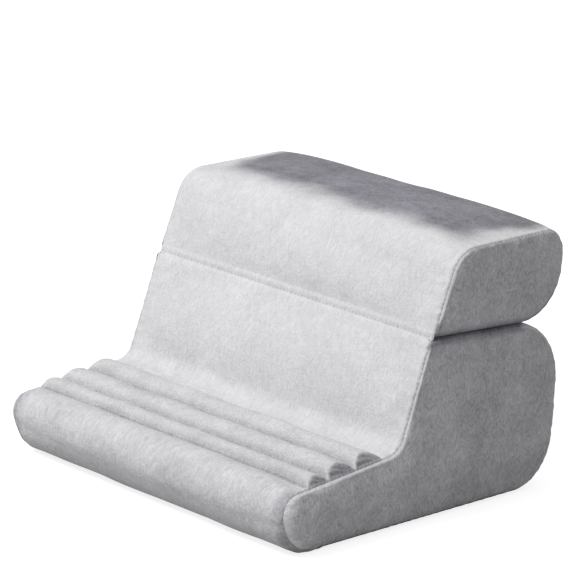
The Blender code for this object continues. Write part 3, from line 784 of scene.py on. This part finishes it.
def lay_group():
    """Short strokes of lying pile: noise drawn out along the chart's V, with swirls in its course."""
    tree, given, made = group(
        "Pile lay", {"Chart": None, "Width": 0.0011, "Length": 0.0065, "Swirl": 0.007}, ("Streaks",))
    swirl = put(tree, "ShaderNodeTexNoise", {"Vector": given["Chart"], "Scale": 75.0, "Detail": 1.0})
    centred = put(tree, "ShaderNodeVectorMath", {0: swirl.outputs["Color"], 1: (0.5, 0.5, 0.5)},
                  operation="SUBTRACT").outputs["Vector"]
    shift = put(tree, "ShaderNodeVectorMath", {0: centred, "Scale": given["Swirl"]},
                operation="SCALE").outputs["Vector"]
    bent = put(tree, "ShaderNodeVectorMath", {0: given["Chart"], 1: shift}).outputs["Vector"]
    parts = put(tree, "ShaderNodeSeparateXYZ", {"Vector": bent}).outputs
    strokes = put(tree, "ShaderNodeCombineXYZ", {
        "X": maths(tree, "DIVIDE", parts["X"], given["Width"]),
        "Y": maths(tree, "DIVIDE", parts["Y"], given["Length"])}).outputs["Vector"]
    noise = put(tree, "ShaderNodeTexNoise", {"Vector": strokes, "Scale": 1.0, "Detail": 3.0,
                                             "Roughness": 0.6, "Distortion": 0.4})
    tree.links.new(spread(tree, noise.outputs["Fac"], 0.3, 0.7), made["Streaks"])
    return tree


def stitch_group():
    """The mask of a seam's narrow groove, for painted shade, and of the stitches that dimple it, by
    distance and place along.
    """
    tree, given, made = group(
        "Stitching", {"Distance": 0.0, "Along": 0.0, "Pitch": 3.2}, ("Painted Groove Shade", "Stitches"))
    turn = maths(tree, "MULTIPLY", maths(tree, "DIVIDE", given["Along"], given["Pitch"]), 2 * math.pi)
    beat = spread(tree, maths(tree, "SINE", turn), 0.0, 0.7)
    near = spread(tree, given["Distance"], 0.5, 1.5, 1.0, 0.0)
    tree.links.new(spread(tree, given["Distance"], 0.1, 1.2, 1.0, 0.0), made["Painted Groove Shade"])
    tree.links.new(maths(tree, "MULTIPLY", beat, near), made["Stitches"])
    return tree


def weave_group():
    """Over and under threads of a plain weave, as a height."""
    tree, given, made = group("Weave", {"Chart": None, "Thread": 0.0006}, ("Height",))
    parts = put(tree, "ShaderNodeSeparateXYZ", {"Vector": given["Chart"]}).outputs
    threads = [maths(tree, "DIVIDE", parts[axis], given["Thread"]) for axis in ("X", "Y")]
    waves = [maths(tree, "SINE", maths(tree, "MULTIPLY", thread, math.pi)) for thread in threads]
    tree.links.new(spread(tree, maths(tree, "MULTIPLY", *waves), -1.0, 1.0), made["Height"])
    return tree


GROUP_MAKERS = {"Pile": pile_group, "Pile lay": lay_group, "Stitching": stitch_group, "Weave": weave_group}
GROUPS = {}


def shared(tree, label, feeds):
    """The outputs of a shared effect, whose node group is made once."""
    if label not in GROUPS:
        GROUPS[label] = GROUP_MAKERS[label]()
    return put(tree, "ShaderNodeGroup", feeds, node_tree=GROUPS[label]).outputs


def new_material(name):
    """A material, its node tree, its shader and its texture coordinates."""
    material = bpy.data.materials.new(name)
    material.use_nodes = True
    tree = material.node_tree
    return material, tree, tree.nodes["Principled BSDF"], tree.nodes.new("ShaderNodeTexCoord").outputs


def mesh_number(tree, label):
    """A number that a mesh holds for each of its points."""
    return put(tree, "ShaderNodeAttribute", attribute_name=label).outputs["Fac"]


def plush_material(colours):
    """Brushed pile with stitched seams, and painted shade: darker, towards the pile-away colour, with
    stronger grain and streakier where its painted-shade attribute is high.
    """
    material, tree, shader, place = new_material("plush")
    pile = shared(tree, "Pile", {"Place": place["Object"], "Tuft Size": colours.tuft * MM})
    nap_and_painted_shade = mesh_number(tree, "nap_and_painted_shade")
    lay = shared(tree, "Pile lay", {"Chart": place["UV"], "Length": scaled(tree, nap_and_painted_shade, -0.0070, 0.0065),
                                    "Swirl": scaled(tree, nap_and_painted_shade, 0.012, 0.006)})["Streaks"]
    seam = shared(tree, "Stitching", {"Distance": mesh_number(tree, "seam_distance"),
                                      "Along": mesh_number(tree, "seam_along")})
    grain = scaled(tree, pile["Tufts"], 0.08, maths(tree, "MULTIPLY", lay, 0.15))
    grain = scaled(tree, pile["Clumps"], 0.05, grain)
    grain = scaled(tree, pile["Patches"], 0.07, grain)
    grain = maths(tree, "SUBTRACT", grain, 0.175)
    # Painted shade: the grain grows stronger where the plush is painted darker.
    shade = maths(tree, "MULTIPLY_ADD", grain, scaled(tree, nap_and_painted_shade, 4.3, 1.2), 1.0)
    # Painted shade in the seam grooves and the stitch dimples.
    shade = scaled(tree, seam["Painted Groove Shade"], -0.16, shade)
    shade = scaled(tree, seam["Stitches"], -0.15, shade)
    # Painted shade: the plush colour is mixed towards the darker pile-away colour.
    cloth = put(tree, "ShaderNodeMix", data_type="RGBA")
    feed(tree, cloth, {0: nap_and_painted_shade, 6: (*colours.plush, 1), 7: (*colours.away, 1)})
    height = scaled(tree, pile["Tufts"], 0.45, maths(tree, "MULTIPLY", lay, 0.35))
    height = scaled(tree, pile["Clumps"], 0.5, height)
    height = scaled(tree, seam["Stitches"], -0.15, height)
    feed(tree, shader, {
        "Base Color": tint(tree, cloth.outputs[2], shade), "Normal": relief(tree, height, 0.55, 0.0009),
        "Roughness": 0.92, "Specular IOR Level": 0.2, "Sheen Weight": 0.12, "Sheen Roughness": 0.45})
    return material


def woven_material(name, colour, thread, tuft, contrast, wear, bump, roughness):
    """Plain woven cloth: contrast is that of its threads, and wear that of its patches."""
    material, tree, shader, place = new_material(name)
    weave = shared(tree, "Weave", {"Chart": place["UV"], "Thread": thread})["Height"]
    pile = shared(tree, "Pile", {"Place": place["Object"], "Tuft Size": tuft})
    shade = scaled(tree, pile["Patches"], wear, scaled(tree, weave, contrast, 1 - contrast))
    feed(tree, shader, {"Base Color": tint(tree, tuple(colour), shade), "Roughness": roughness,
                        "Normal": relief(tree, weave, *bump)})
    return material


def worn_material(name, colour, tuft, contrast, darkest, worn_by, roughness, metallic=0.0):
    """A smooth finish with faint clumps of wear in its colour, and wear in its roughness."""
    material, tree, shader, place = new_material(name)
    pile = shared(tree, "Pile", {"Place": place["Object"], "Tuft Size": tuft})
    shade = scaled(tree, pile["Clumps"], contrast, darkest)
    feed(tree, shader, {"Base Color": tint(tree, tuple(colour), shade), "Metallic": metallic,
                        "Roughness": spread(tree, pile[worn_by], 0.0, 1.0, *roughness)})
    return material


def grip_material(colours):
    return woven_material("grip_cloth", colours.grip, 0.0005, 0.0016, 0.25, 0.15, (0.4, 0.0003), 0.85)


def tape_material(colours):
    return woven_material("zip_tape", colours.tape, 0.0004, 0.0012, 0.3, 0.12, (0.5, 0.0002), 0.8)


def rubber_material(colours):
    """Rubber dots, half as bright as their cloth."""
    colour = [0.5 * part for part in colours.grip]
    return worn_material("grip_dots", colour, 0.0008, 0.2, 0.85, "Clumps", (0.45, 0.6))


def coil_material(colours):
    return worn_material("zip_coil", colours.tape, 0.002, 0.15, 0.85, "Tufts", (0.35, 0.5))


def metal_material(colours):
    return worn_material("zip_metal", colours.metal, 0.0006, 0.2, 0.8, "Tufts", (0.25, 0.45), metallic=1.0)


def foam_material(colours):
    """Open cell foam with dark pores."""
    material, tree, shader, place = new_material("foam")
    pores = put(tree, "ShaderNodeTexVoronoi", {"Vector": place["Object"], "Scale": 700.0},
                feature="SMOOTH_F1").outputs["Distance"]
    pile = shared(tree, "Pile", {"Place": place["Object"], "Tuft Size": 0.002})
    shade = scaled(tree, pile["Patches"], 0.08, scaled(tree, spread(tree, pores, 0.1, 0.6), -0.25, 1.0))
    feed(tree, shader, {"Base Color": tint(tree, tuple(colours.foam), shade), "Roughness": 0.95,
                        "Normal": relief(tree, spread(tree, pores, 0.0, 0.6, 1.0, 0.0), 0.6, 0.0006)})
    return material


MATERIAL_MAKERS = {"plush": plush_material, "grip": grip_material, "rubber": rubber_material,
                   "tape": tape_material, "coil": coil_material, "metal": metal_material,
                   "foam": foam_material}
MATERIALS = {}


def material_for(label):
    """Each finish is made once, from the colours of the scene."""
    if label not in MATERIALS:
        MATERIALS[label] = MATERIAL_MAKERS[label](bpy.context.scene.stand_colours)
    return MATERIALS[label]


# Painted shade, as how far the pile lies away.

def tucked_share(outline, along, points):
    """1 where a cover lies between the two cushions, and 0 where it is free or on the floor."""
    return ease(1 - free_stretch(outline, along)[:, None], 0.0, 0.9) * ease(points[..., 2], 90.0, 100.0)


def tucked_edge_painted_shade(outline, along, points, inset):
    """Painted shade on the covers' edges that are tucked in between the cushions, where shade falls."""
    return tucked_share(outline, along, points) * (1 - ease(inset, 1.0, 8.0))


def side_painted_shade(outline, along, points, inset):
    """Painted shade on the side panels, left off at the sewn edges that face the front, which read as lit
    rims: a painted highlight.

    Edges that are tucked in between the cushions get more painted shade, where shade falls between them.
    """
    nose = nose_share(outline, along)[:, None]
    painted_lit_rim = ease(free_stretch(outline, along)[:, None], 0.0, 0.3)
    if outline is BLOCK:
        painted_lit_rim = painted_lit_rim * ease(-outline.at(along)[:, 2:3], 0.1, 0.6)
    edge = ease(inset + 1.2 * nose * rumple(points, 9, 3.0, 7.0), 0.7, 1.8 + 3.5 * nose)
    tucked = tucked_share(outline, along, points) * (1 - ease(inset, 0.5, 4.5))
    return SIDE_PAINTED_SHADE * np.maximum(edge, 1 - painted_lit_rim) + TUCKED_PAINTED_SHADE * tucked


def nose_painted_shade(points, inset, nose):
    """Painted shade on the roll near the nose's ends, where it turns towards the sides."""
    return NOSE_PAINTED_SHADE * nose * (1 - ease(inset + 1.5 * rumple(points, 15, 4.0, 9.0), 1.0, 10.0))


def block_top_painted_shade(points, inset):
    """Painted shade on the block's top, left off along its sides, and less of it down its rear."""
    y, z = points[..., 1], points[..., 2]
    wander = 3.0 * rumple(points, 5, 30.0, 80.0)
    rear = 1 - 0.75 * ease(172.0 - z + wander, 0.0, 40.0) * ease(y, 95.0, 112.0)
    top = np.maximum(ease(z, 150.0, 168.0), ease(y, 90.0, 105.0))
    edge = 30.0 - 16.0 * ease(y, 45.0, 100.0)
    sides = ease(inset + wander, 0.2 * edge, edge)
    return TOP_PAINTED_SHADE * ease(y + wander, 25.0, 50.0) * top * rear * sides


# Pieces.

def rows_between(first, last, step, fine=()):
    """Distances from first to last at about a step, closer together inside each fine stretch."""
    places = np.linspace(first, last, max(2, round((last - first) / step)) + 1)
    for low, high, close in fine:
        inner = np.linspace(low, high, max(2, round((high - low) / close)) + 1)
        places = np.concatenate([places[(places < low - step / 2) | (places > high + step / 2)], inner])
    return np.sort(places)


def finish(piece, body, stands_for=()):
    """Tell the frame what a piece rides on and what it stands for."""
    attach(piece, body)
    if stands_for:
        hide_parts(*stands_for)


def add_ledge_cover(look):
    """The ribs, the rolled nose and its underside, from the rearmost groove to the underside."""
    first, last = GROOVES[0], BASE.marks["foot"][1]
    along = rows_between(first, last, look.row_step, [(first, GROOVES[-1] + 4, 0.9)])
    points, inset, painted_rib_shade = band(BASE, along, look.columns, 41, ribs=True)
    stitched = np.min([np.abs(along - place) for place in GROOVES], axis=0)[:, None]
    nose = nose_share(BASE, along)[:, None]
    # Painted shade: a little over the whole ledge, on the rib ends and grooves, and near the nose's ends.
    nap_and_painted_shade = LEDGE_PAINTED_SHADE * ease(along - first, 0.0, 20.0)[:, None] + painted_rib_shade + nose_painted_shade(points, inset, nose)
    # The rib grooves get the seams' painted groove shade, and less of it goes round the nose.
    seam = np.minimum(inset + 0.7 * nose, stitched + 0.2)
    piece = cover("base_ledge_cover", points, seam, along, material_for("plush"), nap_and_painted_shade)
    finish(piece, "base", ["base_front_cover"])


def add_backrest_cover(look):
    """The backrest, the sewn fold and the block's front, top and rear, as one sheet.

    Base rows run up to just under the fold and block rows start just over it. Between them the
    rows are mixed, with a stitched dip of exp(-(distance / width)^2) at the hinge line, and the
    cloth bunches into a small knot at each end of the fold.
    """
    foot, top = BASE.marks["hinge"][1] + 1.0, BLOCK.length - 1.0
    low = rows_between(foot, GROOVES[0], look.row_step, [(foot, foot + 8.0, 0.6)])[::-1]
    high = rows_between(BLOCK_ZIP[1], top, look.row_step, [(top - 8.0, top, 0.6)])[::-1]
    below, below_inset, _ = band(BASE, low, look.columns, 41, ribs=True)
    above, above_inset, _ = band(BLOCK, high, look.columns, 57)
    mixes = np.linspace(0, 1, BRIDGE_ROWS + 2)[1:-1]
    bridge = between(below[-1], above[0], mixes[:, None, None])
    span = np.linalg.norm((above[0] - below[-1])[:, 1:].mean(0))
    across = np.cumsum(np.abs(np.diff(bridge[0, :, 0], prepend=bridge[0, 0, 0])))
    dip = look.fold_depth * (1 + 0.25 * wave(across, 83, 4.0, 8.0))[None, :]
    dip = dip * np.exp(-(span * (mixes[:, None] - 0.5) / FOLD_DIP_WIDTH) ** 2)
    facing = (BASE.at(low[-1:])[0, 2:4] + BLOCK.at(high[:1])[0, 2:4]) / 2
    facing /= np.linalg.norm(facing)
    bridge[..., 1:] -= dip[..., None] * facing
    points = np.vstack([below, bridge, above])
    inset = np.vstack([below_inset, between(below_inset[-1], above_inset[0], mixes[:, None]), above_inset])
    chart = distances(points[:, look.columns // 2])
    past = (chart - chart[len(low)] - span * (1 / 2 - 1 / (BRIDGE_ROWS + 2)))[:, None]
    fold = np.abs(past)
    knot = KNOT_HEIGHT * np.exp(-(inset ** 2 + fold ** 2) / KNOT_REACH ** 2) * ease(inset, 0.3, 1.5)
    knot = knot * np.sin(13 * np.arctan2(past, inset + 0.5))
    out = np.vstack([BASE.at(low)[:, 2:4], np.tile(facing, (len(mixes), 1)), BLOCK.at(high)[:, 2:4]])
    points[..., 1:] += knot[..., None] * out[:, None, :]
    along = np.concatenate([low, np.full(len(mixes), low[-1]), high])[:, None]
    stitched = np.where(inset < fold, along, points[..., 0])
    # The block's top gets painted shade, and the stitched fold line the seams' painted groove shade.
    piece = cover("backrest_and_block_cover", points, np.minimum(inset, fold + 0.3), chart,
                  material_for("plush"), block_top_painted_shade(points, inset), stitched, flip=True)
    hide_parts("block_cover", "hinge_seam")
    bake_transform(piece)


def add_tucked_cover(outline, along, columns, seed, plump, replaced):
    """A cover whose edges are tucked between the cushions in part. It stands for one solid."""
    points, inset, _ = band(outline, along, round(columns), seed, plump=plump)
    # The tucked edges get painted shade.
    piece = cover(f"{replaced}_sheet", points, inset, along, material_for("plush"),
                  tucked_edge_painted_shade(outline, along, points, inset))
    finish(piece, outline.body, [replaced])


def add_rear_covers(look):
    """The base's rear and top, behind the zip, and the block's underside in front of its zip.

    Both sheets reach round the hinge's corner, so that no gap opens as the block folds.
    """
    last = BASE.length + 0.45 * BASE.marks["hinge"][1]
    along = rows_between(BASE_ZIP[1], last, look.row_step * 1.5, [(BASE.length, last, 0.8)])
    add_tucked_cover(BASE, along, look.columns * REAR_COLUMNS, 43, 0.8, "base_rear_cover")
    corner = BLOCK.marks["hinge"][1]
    along = rows_between(0.2 * corner, BLOCK_ZIP[0], look.row_step * 1.7, [(0.2 * corner, corner, 0.8)])
    add_tucked_cover(BLOCK, along, look.columns * HIDDEN_COLUMNS, 59, 0.0, "block_under_cover")


def add_side_panel(look, outline, hand, word):
    """One side panel, whose rings close in on the spine and are welded where they meet."""
    points, inset, along = side(outline, round(outline.length / look.side_step), outline.rings,
                                outline.side_seed, hand)
    faces = grid_faces(*inset.shape, closed=True)
    # Painted shade on the side panel, with painted highlights along its lit rims.
    layers = cloth_layers(inset + 1.0, along[:, None], side_painted_shade(outline, along, points, inset))
    piece = make_sheet(f"{outline.body}_{word}_side_sheet", points, faces if hand else faces[:, ::-1],
                       layers, points[..., 1:] * MM, material_for("plush"), weld=True)
    finish(piece, outline.body, [f"{outline.body}_{word}_side_panel"])


def add_grip_cloth(look):
    """The grip cloth under the base, held up by its own rubber dots."""
    first, last = BASE.marks["foot"][1], BASE_ZIP[0]
    along = rows_between(first, last, 2.5, [(first, first + 8, 1.2), (last - 8, last, 1.2)])
    lift = -look.dot_height * ease(along, first, first + 6) * (1 - ease(along, last - 6, last))
    points, inset, _ = band(BASE, along, round(look.columns * HIDDEN_COLUMNS), 47, plump=0.0,
                            flat_lift=lift[:, None])
    piece = cover("base_grip_cloth", points, inset, along, material_for("grip"))
    finish(piece, "base", ["base_bottom_panel"])


def add_grip_dots(look):
    """Rubber domes that point down, on a staggered grid."""
    across, deep = np.meshgrid(np.arange(-DOT_COLUMNS_EACH_WAY, DOT_COLUMNS_EACH_WAY + 1),
                               np.arange(DOT_ROWS), indexing="ij")
    centres = np.stack([(across + 0.5 * (deep % 2) - 0.25) * DOT_SPACING[0],
                        DOT_FRONT + deep * DOT_SPACING[1], np.zeros(deep.shape)], axis=-1).reshape(-1, 1, 3)
    turns = np.arange(DOT_SIDES) * 2 * math.pi / DOT_SIDES
    dome = [[DOT_RADIUS * wide * math.cos(turn), DOT_RADIUS * wide * math.sin(turn), look.dot_height * up]
            for wide, up in DOT_RINGS for turn in turns]
    dome = np.array(dome + [[0.0, 0.0, 0.0]])
    low_ring, tip = DOT_SIDES * (len(DOT_RINGS) - 1), len(dome) - 1
    faces = ring_faces(len(DOT_RINGS), DOT_SIDES)
    faces += [(low_ring + k, low_ring + (k + 1) % DOT_SIDES, tip) for k in range(DOT_SIDES)]
    faces.append(tuple(reversed(range(DOT_SIDES))))
    piece = make_shells("base_grip_dots", dome + centres, repeated(faces, len(centres), len(dome)),
                        material_for("rubber"))
    finish(piece, "base")


def add_zip_tape(look, outline, span):
    """The tape between the covers, sunk a little below them."""
    along = np.linspace(span[0] - 1.0, span[1] + 1.0, 15)
    points, inset, _ = band(outline, along, round(look.columns * HIDDEN_COLUMNS), 61, plump=0.0,
                            flat_lift=-ZIP_SUNK)
    piece = cover(f"{outline.body}_zip_tape_sheet", points, inset, along, material_for("tape"),
                  thickness=TAPE_WALL)
    finish(piece, outline.body, [f"{outline.body}_zip_tape"])


def add_zip_coil(look, outline, span):
    """The closed coil: arches across the tape, a pitch apart.

    Each arch is an ellipse (half width cos t, height sin t) for t from 0 to pi, swept by a round
    thread, and every second arch is shifted along the tape so that the two sides mesh.
    """
    place, out, (swell, _power) = np.split(outline.at(np.array([sum(span) / 2]))[0], (2, 4))
    middle = place + out * (swell - ZIP_SUNK)
    way = np.array([out[1], -out[0]])
    starts = np.arange(-COIL_REACH, COIL_REACH, look.coil_pitch)
    turn = np.linspace(0, math.pi, COIL_STEPS)
    around = np.arange(THREAD_SIDES) * 2 * math.pi / THREAD_SIDES
    slope = np.stack([-COIL_HALF_WIDTH * np.sin(turn), COIL_HEIGHT * np.cos(turn)], axis=-1)
    slope /= np.linalg.norm(slope, axis=1)[:, None]
    up = THREAD_RADIUS * np.sin(around)
    shift = COIL_SHIFT * np.where(np.arange(len(starts)) % 2, 1.0, -1.0)[:, None, None]
    wide = COIL_HALF_WIDTH * np.cos(turn)[:, None] - up * slope[:, 1:] + shift
    tall = COIL_HEIGHT * np.sin(turn)[:, None] + up * slope[:, :1]
    x = starts[:, None, None] + THREAD_RADIUS * np.cos(around)
    x, wide, tall = np.broadcast_arrays(x, wide, tall)
    places = middle + wide[..., None] * way + tall[..., None] * out
    points = np.concatenate([x[..., None], places], axis=-1)
    count = COIL_STEPS * THREAD_SIDES
    faces = ring_faces(COIL_STEPS, THREAD_SIDES)
    faces += [tuple(range(THREAD_SIDES)), tuple(range(count - THREAD_SIDES, count))]
    piece = make_shells(f"{outline.body}_zip_coil", points, repeated(faces, len(starts), count),
                        material_for("coil"))
    finish(piece, outline.body)


def dress_node(name, label):
    """Give one of the frame's own solids its finish."""
    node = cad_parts[name]
    node.data.materials.clear()
    node.data.materials.append(material_for(label))


# Stage.

def add_floor():
    """A plain pale floor, which glows a little to the camera alone."""
    mesh = bpy.data.meshes.new("floor")
    corners = [(-FLOOR_REACH, -FLOOR_REACH, 0), (FLOOR_REACH, -FLOOR_REACH, 0),
               (FLOOR_REACH, FLOOR_REACH, 0), (-FLOOR_REACH, FLOOR_REACH, 0)]
    mesh.from_pydata(corners, [], [(0, 1, 2, 3)])
    floor = bpy.data.objects.new("floor", mesh)
    bpy.context.scene.collection.objects.link(floor)
    material, tree, shader, _place = new_material("floor")
    rays = tree.nodes.new("ShaderNodeLightPath").outputs
    feed(tree, shader, {"Base Color": (0.5, 0.5, 0.5, 1), "Roughness": 0.9, "Specular IOR Level": 0.0})
    glow = put(tree, "ShaderNodeEmission", {
        "Color": (1, 1, 1, 1), "Strength": maths(tree, "MULTIPLY", rays["Is Camera Ray"], FLOOR_GLOW)})
    mixed = put(tree, "ShaderNodeAddShader", {0: shader.outputs[0], 1: glow.outputs[0]})
    tree.links.new(mixed.outputs[0], tree.nodes["Material Output"].inputs["Surface"])
    mesh.materials.append(material)


def add_world(light):
    """Even white light, full white where the camera, a mirror or glass sees it."""
    world = bpy.data.worlds.new("studio")
    bpy.context.scene.world = world
    world.use_nodes = True
    tree = world.node_tree
    rays = tree.nodes.new("ShaderNodeLightPath").outputs
    strength = light.ambient
    for ray in ("Is Camera Ray", "Is Glossy Ray", "Is Transmission Ray"):
        strength = maths(tree, "MAXIMUM", rays[ray], strength)
    feed(tree, tree.nodes["Background"], {"Color": (1, 1, 1, 1), "Strength": strength})


def direction(azimuth, elevation):
    """The way from the stand towards an azimuth, counted from the front towards +X."""
    turn, rise = math.radians(azimuth), math.radians(elevation)
    return np.array([math.sin(turn) * math.cos(rise), -math.cos(turn) * math.cos(rise), math.sin(rise)])


def add_lamp(power):
    """An area lamp that faces the stand."""
    away = Vector(direction(LAMP_AZIMUTH, LAMP_ELEVATION))
    data = bpy.data.lights.new("key", "AREA")
    data.size, data.energy = LAMP_SIZE, power
    lamp = bpy.data.objects.new("key", data)
    lamp.location = Vector(LAMP_AIM) + away * LAMP_DISTANCE
    lamp.rotation_euler = away.to_track_quat("Z", "Y").to_euler()
    bpy.context.scene.collection.objects.link(lamp)


def add_camera():
    """The camera, by its place and its azimuth, elevation and roll."""
    back = direction(CAMERA_AZIMUTH, CAMERA_ELEVATION)
    level, roll = math.radians(CAMERA_AZIMUTH), math.radians(CAMERA_ROLL)
    right = np.array([math.cos(level), math.sin(level), 0.0])
    up = np.cross(back, right)
    rolled_right = math.cos(roll) * right + math.sin(roll) * up
    rolled_up = math.cos(roll) * up - math.sin(roll) * right
    data = bpy.data.cameras.new("camera")
    data.lens, data.sensor_width = CAMERA_LENS, CAMERA_SENSOR
    data.clip_start, data.clip_end = 0.05, 30.0
    camera = bpy.data.objects.new("camera", data)
    axes = Matrix((rolled_right, rolled_up, back)).transposed().to_4x4()
    camera.matrix_world = Matrix.Translation(CAMERA_PLACE) @ axes
    bpy.context.scene.collection.objects.link(camera)
    bpy.context.scene.camera = camera


# Add-on.

def size_prop(name, description, default, low, high, **more):
    """A number that a maker may set."""
    return bpy.props.FloatProperty(name=name, description=description, default=default,
                                   min=low, max=high, **more)


def colour_prop(name, description, default):
    """A colour that a maker may set."""
    return bpy.props.FloatVectorProperty(name=name, description=description, default=default, size=3,
                                         subtype="COLOR", min=0, max=1)


class StandLook(bpy.types.PropertyGroup):
    """Sizes of the cloth detail."""

    columns: bpy.props.IntProperty(name="Columns", description="Points across each cover", default=161,
                                   min=41, max=401)
    row_step: size_prop("Row step", "Row spacing along the covers in mm", 1.2, 0.5, 10)
    side_step: size_prop("Side step", "Point spacing round the side panels in mm", 1.2, 0.5, 10)
    fold_depth: size_prop("Fold depth", "Depth of the hinge line in mm", 1.0, 0, 4)
    dot_height: size_prop("Dot height", "Height of the grip dots in mm", 0.6, 0.2, 1.2)
    coil_pitch: size_prop("Coil pitch", "Spacing of the zip's arches in mm", 1.5, 1.0, 4.0)


class StandColours(bpy.types.PropertyGroup):
    """Colours of the finishes."""

    plush: colour_prop("Plush", "Light grey short pile plush", (0.65, 0.65, 0.665))
    # The colour of painted shade, mixed into the plush where it is painted darker.
    away: colour_prop("Pile away", "The plush where its pile lies away", (0.226, 0.218, 0.255))
    grip: colour_prop("Grip cloth", "Dark cloth under the base", (0.05, 0.05, 0.055))
    tape: colour_prop("Zip tape", "Woven tape and coil of the zips", (0.30, 0.30, 0.31))
    metal: colour_prop("Zip metal", "Zip sliders", (0.50, 0.50, 0.51))
    foam: colour_prop("Foam", "Cushion foam under the covers", (0.80, 0.76, 0.62))
    tuft: size_prop("Tuft size", "Size of one tuft of pile in mm", 1.5, 0.3, 5)


class StandLight(bpy.types.PropertyGroup):
    """Light of the stage."""

    key: size_prop("Key", "Power of the main lamp", 23.0, 0, 1000, subtype="POWER")
    ambient: size_prop("Ambient", "Strength of the even light", 0.5, 0, 2)


class STAND_OT_covers(bpy.types.Operator):
    """Make the plush covers of the base and the block, with ribs, seams and the fold"""

    bl_idname = "stand.covers"
    bl_label = "Plush covers"

    def execute(self, context):
        look = context.scene.stand_look
        add_ledge_cover(look)
        add_backrest_cover(look)
        add_rear_covers(look)
        return {"FINISHED"}


class STAND_OT_sides(bpy.types.Operator):
    """Make the four side panels"""

    bl_idname = "stand.sides"
    bl_label = "Side panels"

    def execute(self, context):
        for hand, word in enumerate(("left", "right")):
            for outline in (BASE, BLOCK):
                add_side_panel(context.scene.stand_look, outline, hand, word)
        return {"FINISHED"}


class STAND_OT_underside(bpy.types.Operator):
    """Make the grip cloth and its rubber dots"""

    bl_idname = "stand.underside"
    bl_label = "Grip cloth"

    def execute(self, context):
        add_grip_cloth(context.scene.stand_look)
        add_grip_dots(context.scene.stand_look)
        return {"FINISHED"}


class STAND_OT_zips(bpy.types.Operator):
    """Make both zips' tapes and coils, and finish their sliders"""

    bl_idname = "stand.zips"
    bl_label = "Zips"

    def execute(self, context):
        for outline, span in ((BASE, BASE_ZIP), (BLOCK, BLOCK_ZIP)):
            add_zip_tape(context.scene.stand_look, outline, span)
            add_zip_coil(context.scene.stand_look, outline, span)
        for outline in (BASE, BLOCK):
            dress_node(f"{outline.body}_zip_slider", "metal")
        return {"FINISHED"}


class STAND_OT_foam(bpy.types.Operator):
    """Finish the foam inside the covers"""

    bl_idname = "stand.foam"
    bl_label = "Foam"

    def execute(self, context):
        for name in ("base_foam", "block_foam", "front_rib_pad", "middle_rib_pad", "rear_rib_pad"):
            dress_node(name, "foam")
        return {"FINISHED"}


class STAND_OT_stage(bpy.types.Operator):
    """Set the floor, the light and the camera"""

    bl_idname = "stand.stage"
    bl_label = "Stage"

    def execute(self, context):
        light = context.scene.stand_light
        add_floor()
        add_world(light)
        add_lamp(light.key)
        add_camera()
        context.scene.view_settings.view_transform = "Standard"
        return {"FINISHED"}


class STAND_PT_panel(bpy.types.Panel):
    """Buttons for the pieces of the stand"""

    bl_idname = "STAND_PT_panel"
    bl_label = "Cushion stand"
    bl_space_type = "VIEW_3D"
    bl_region_type = "UI"
    bl_category = "Cushion stand"

    def draw(self, context):
        for label, kind in SETTINGS:
            box = self.layout.box()
            for name in kind.__annotations__:
                box.prop(getattr(context.scene, label), name)
        for step in STEPS:
            self.layout.operator(step.bl_idname)


STEPS = (STAND_OT_covers, STAND_OT_sides, STAND_OT_underside, STAND_OT_zips, STAND_OT_foam, STAND_OT_stage)
SETTINGS = (("stand_look", StandLook), ("stand_colours", StandColours), ("stand_light", StandLight))


def register():
    for label, kind in SETTINGS:
        bpy.utils.register_class(kind)
        setattr(bpy.types.Scene, label, bpy.props.PointerProperty(type=kind))
    for kind in (*STEPS, STAND_PT_panel):
        bpy.utils.register_class(kind)


def unregister():
    for kind in reversed((*STEPS, STAND_PT_panel)):
        bpy.utils.unregister_class(kind)
    for label, kind in reversed(SETTINGS):
        delattr(bpy.types.Scene, label)
        bpy.utils.unregister_class(kind)


def main():
    register()
    for step in STEPS:
        getattr(bpy.ops.stand, step.bl_idname.split(".")[1])()


if __name__ == "__main__":
    main()
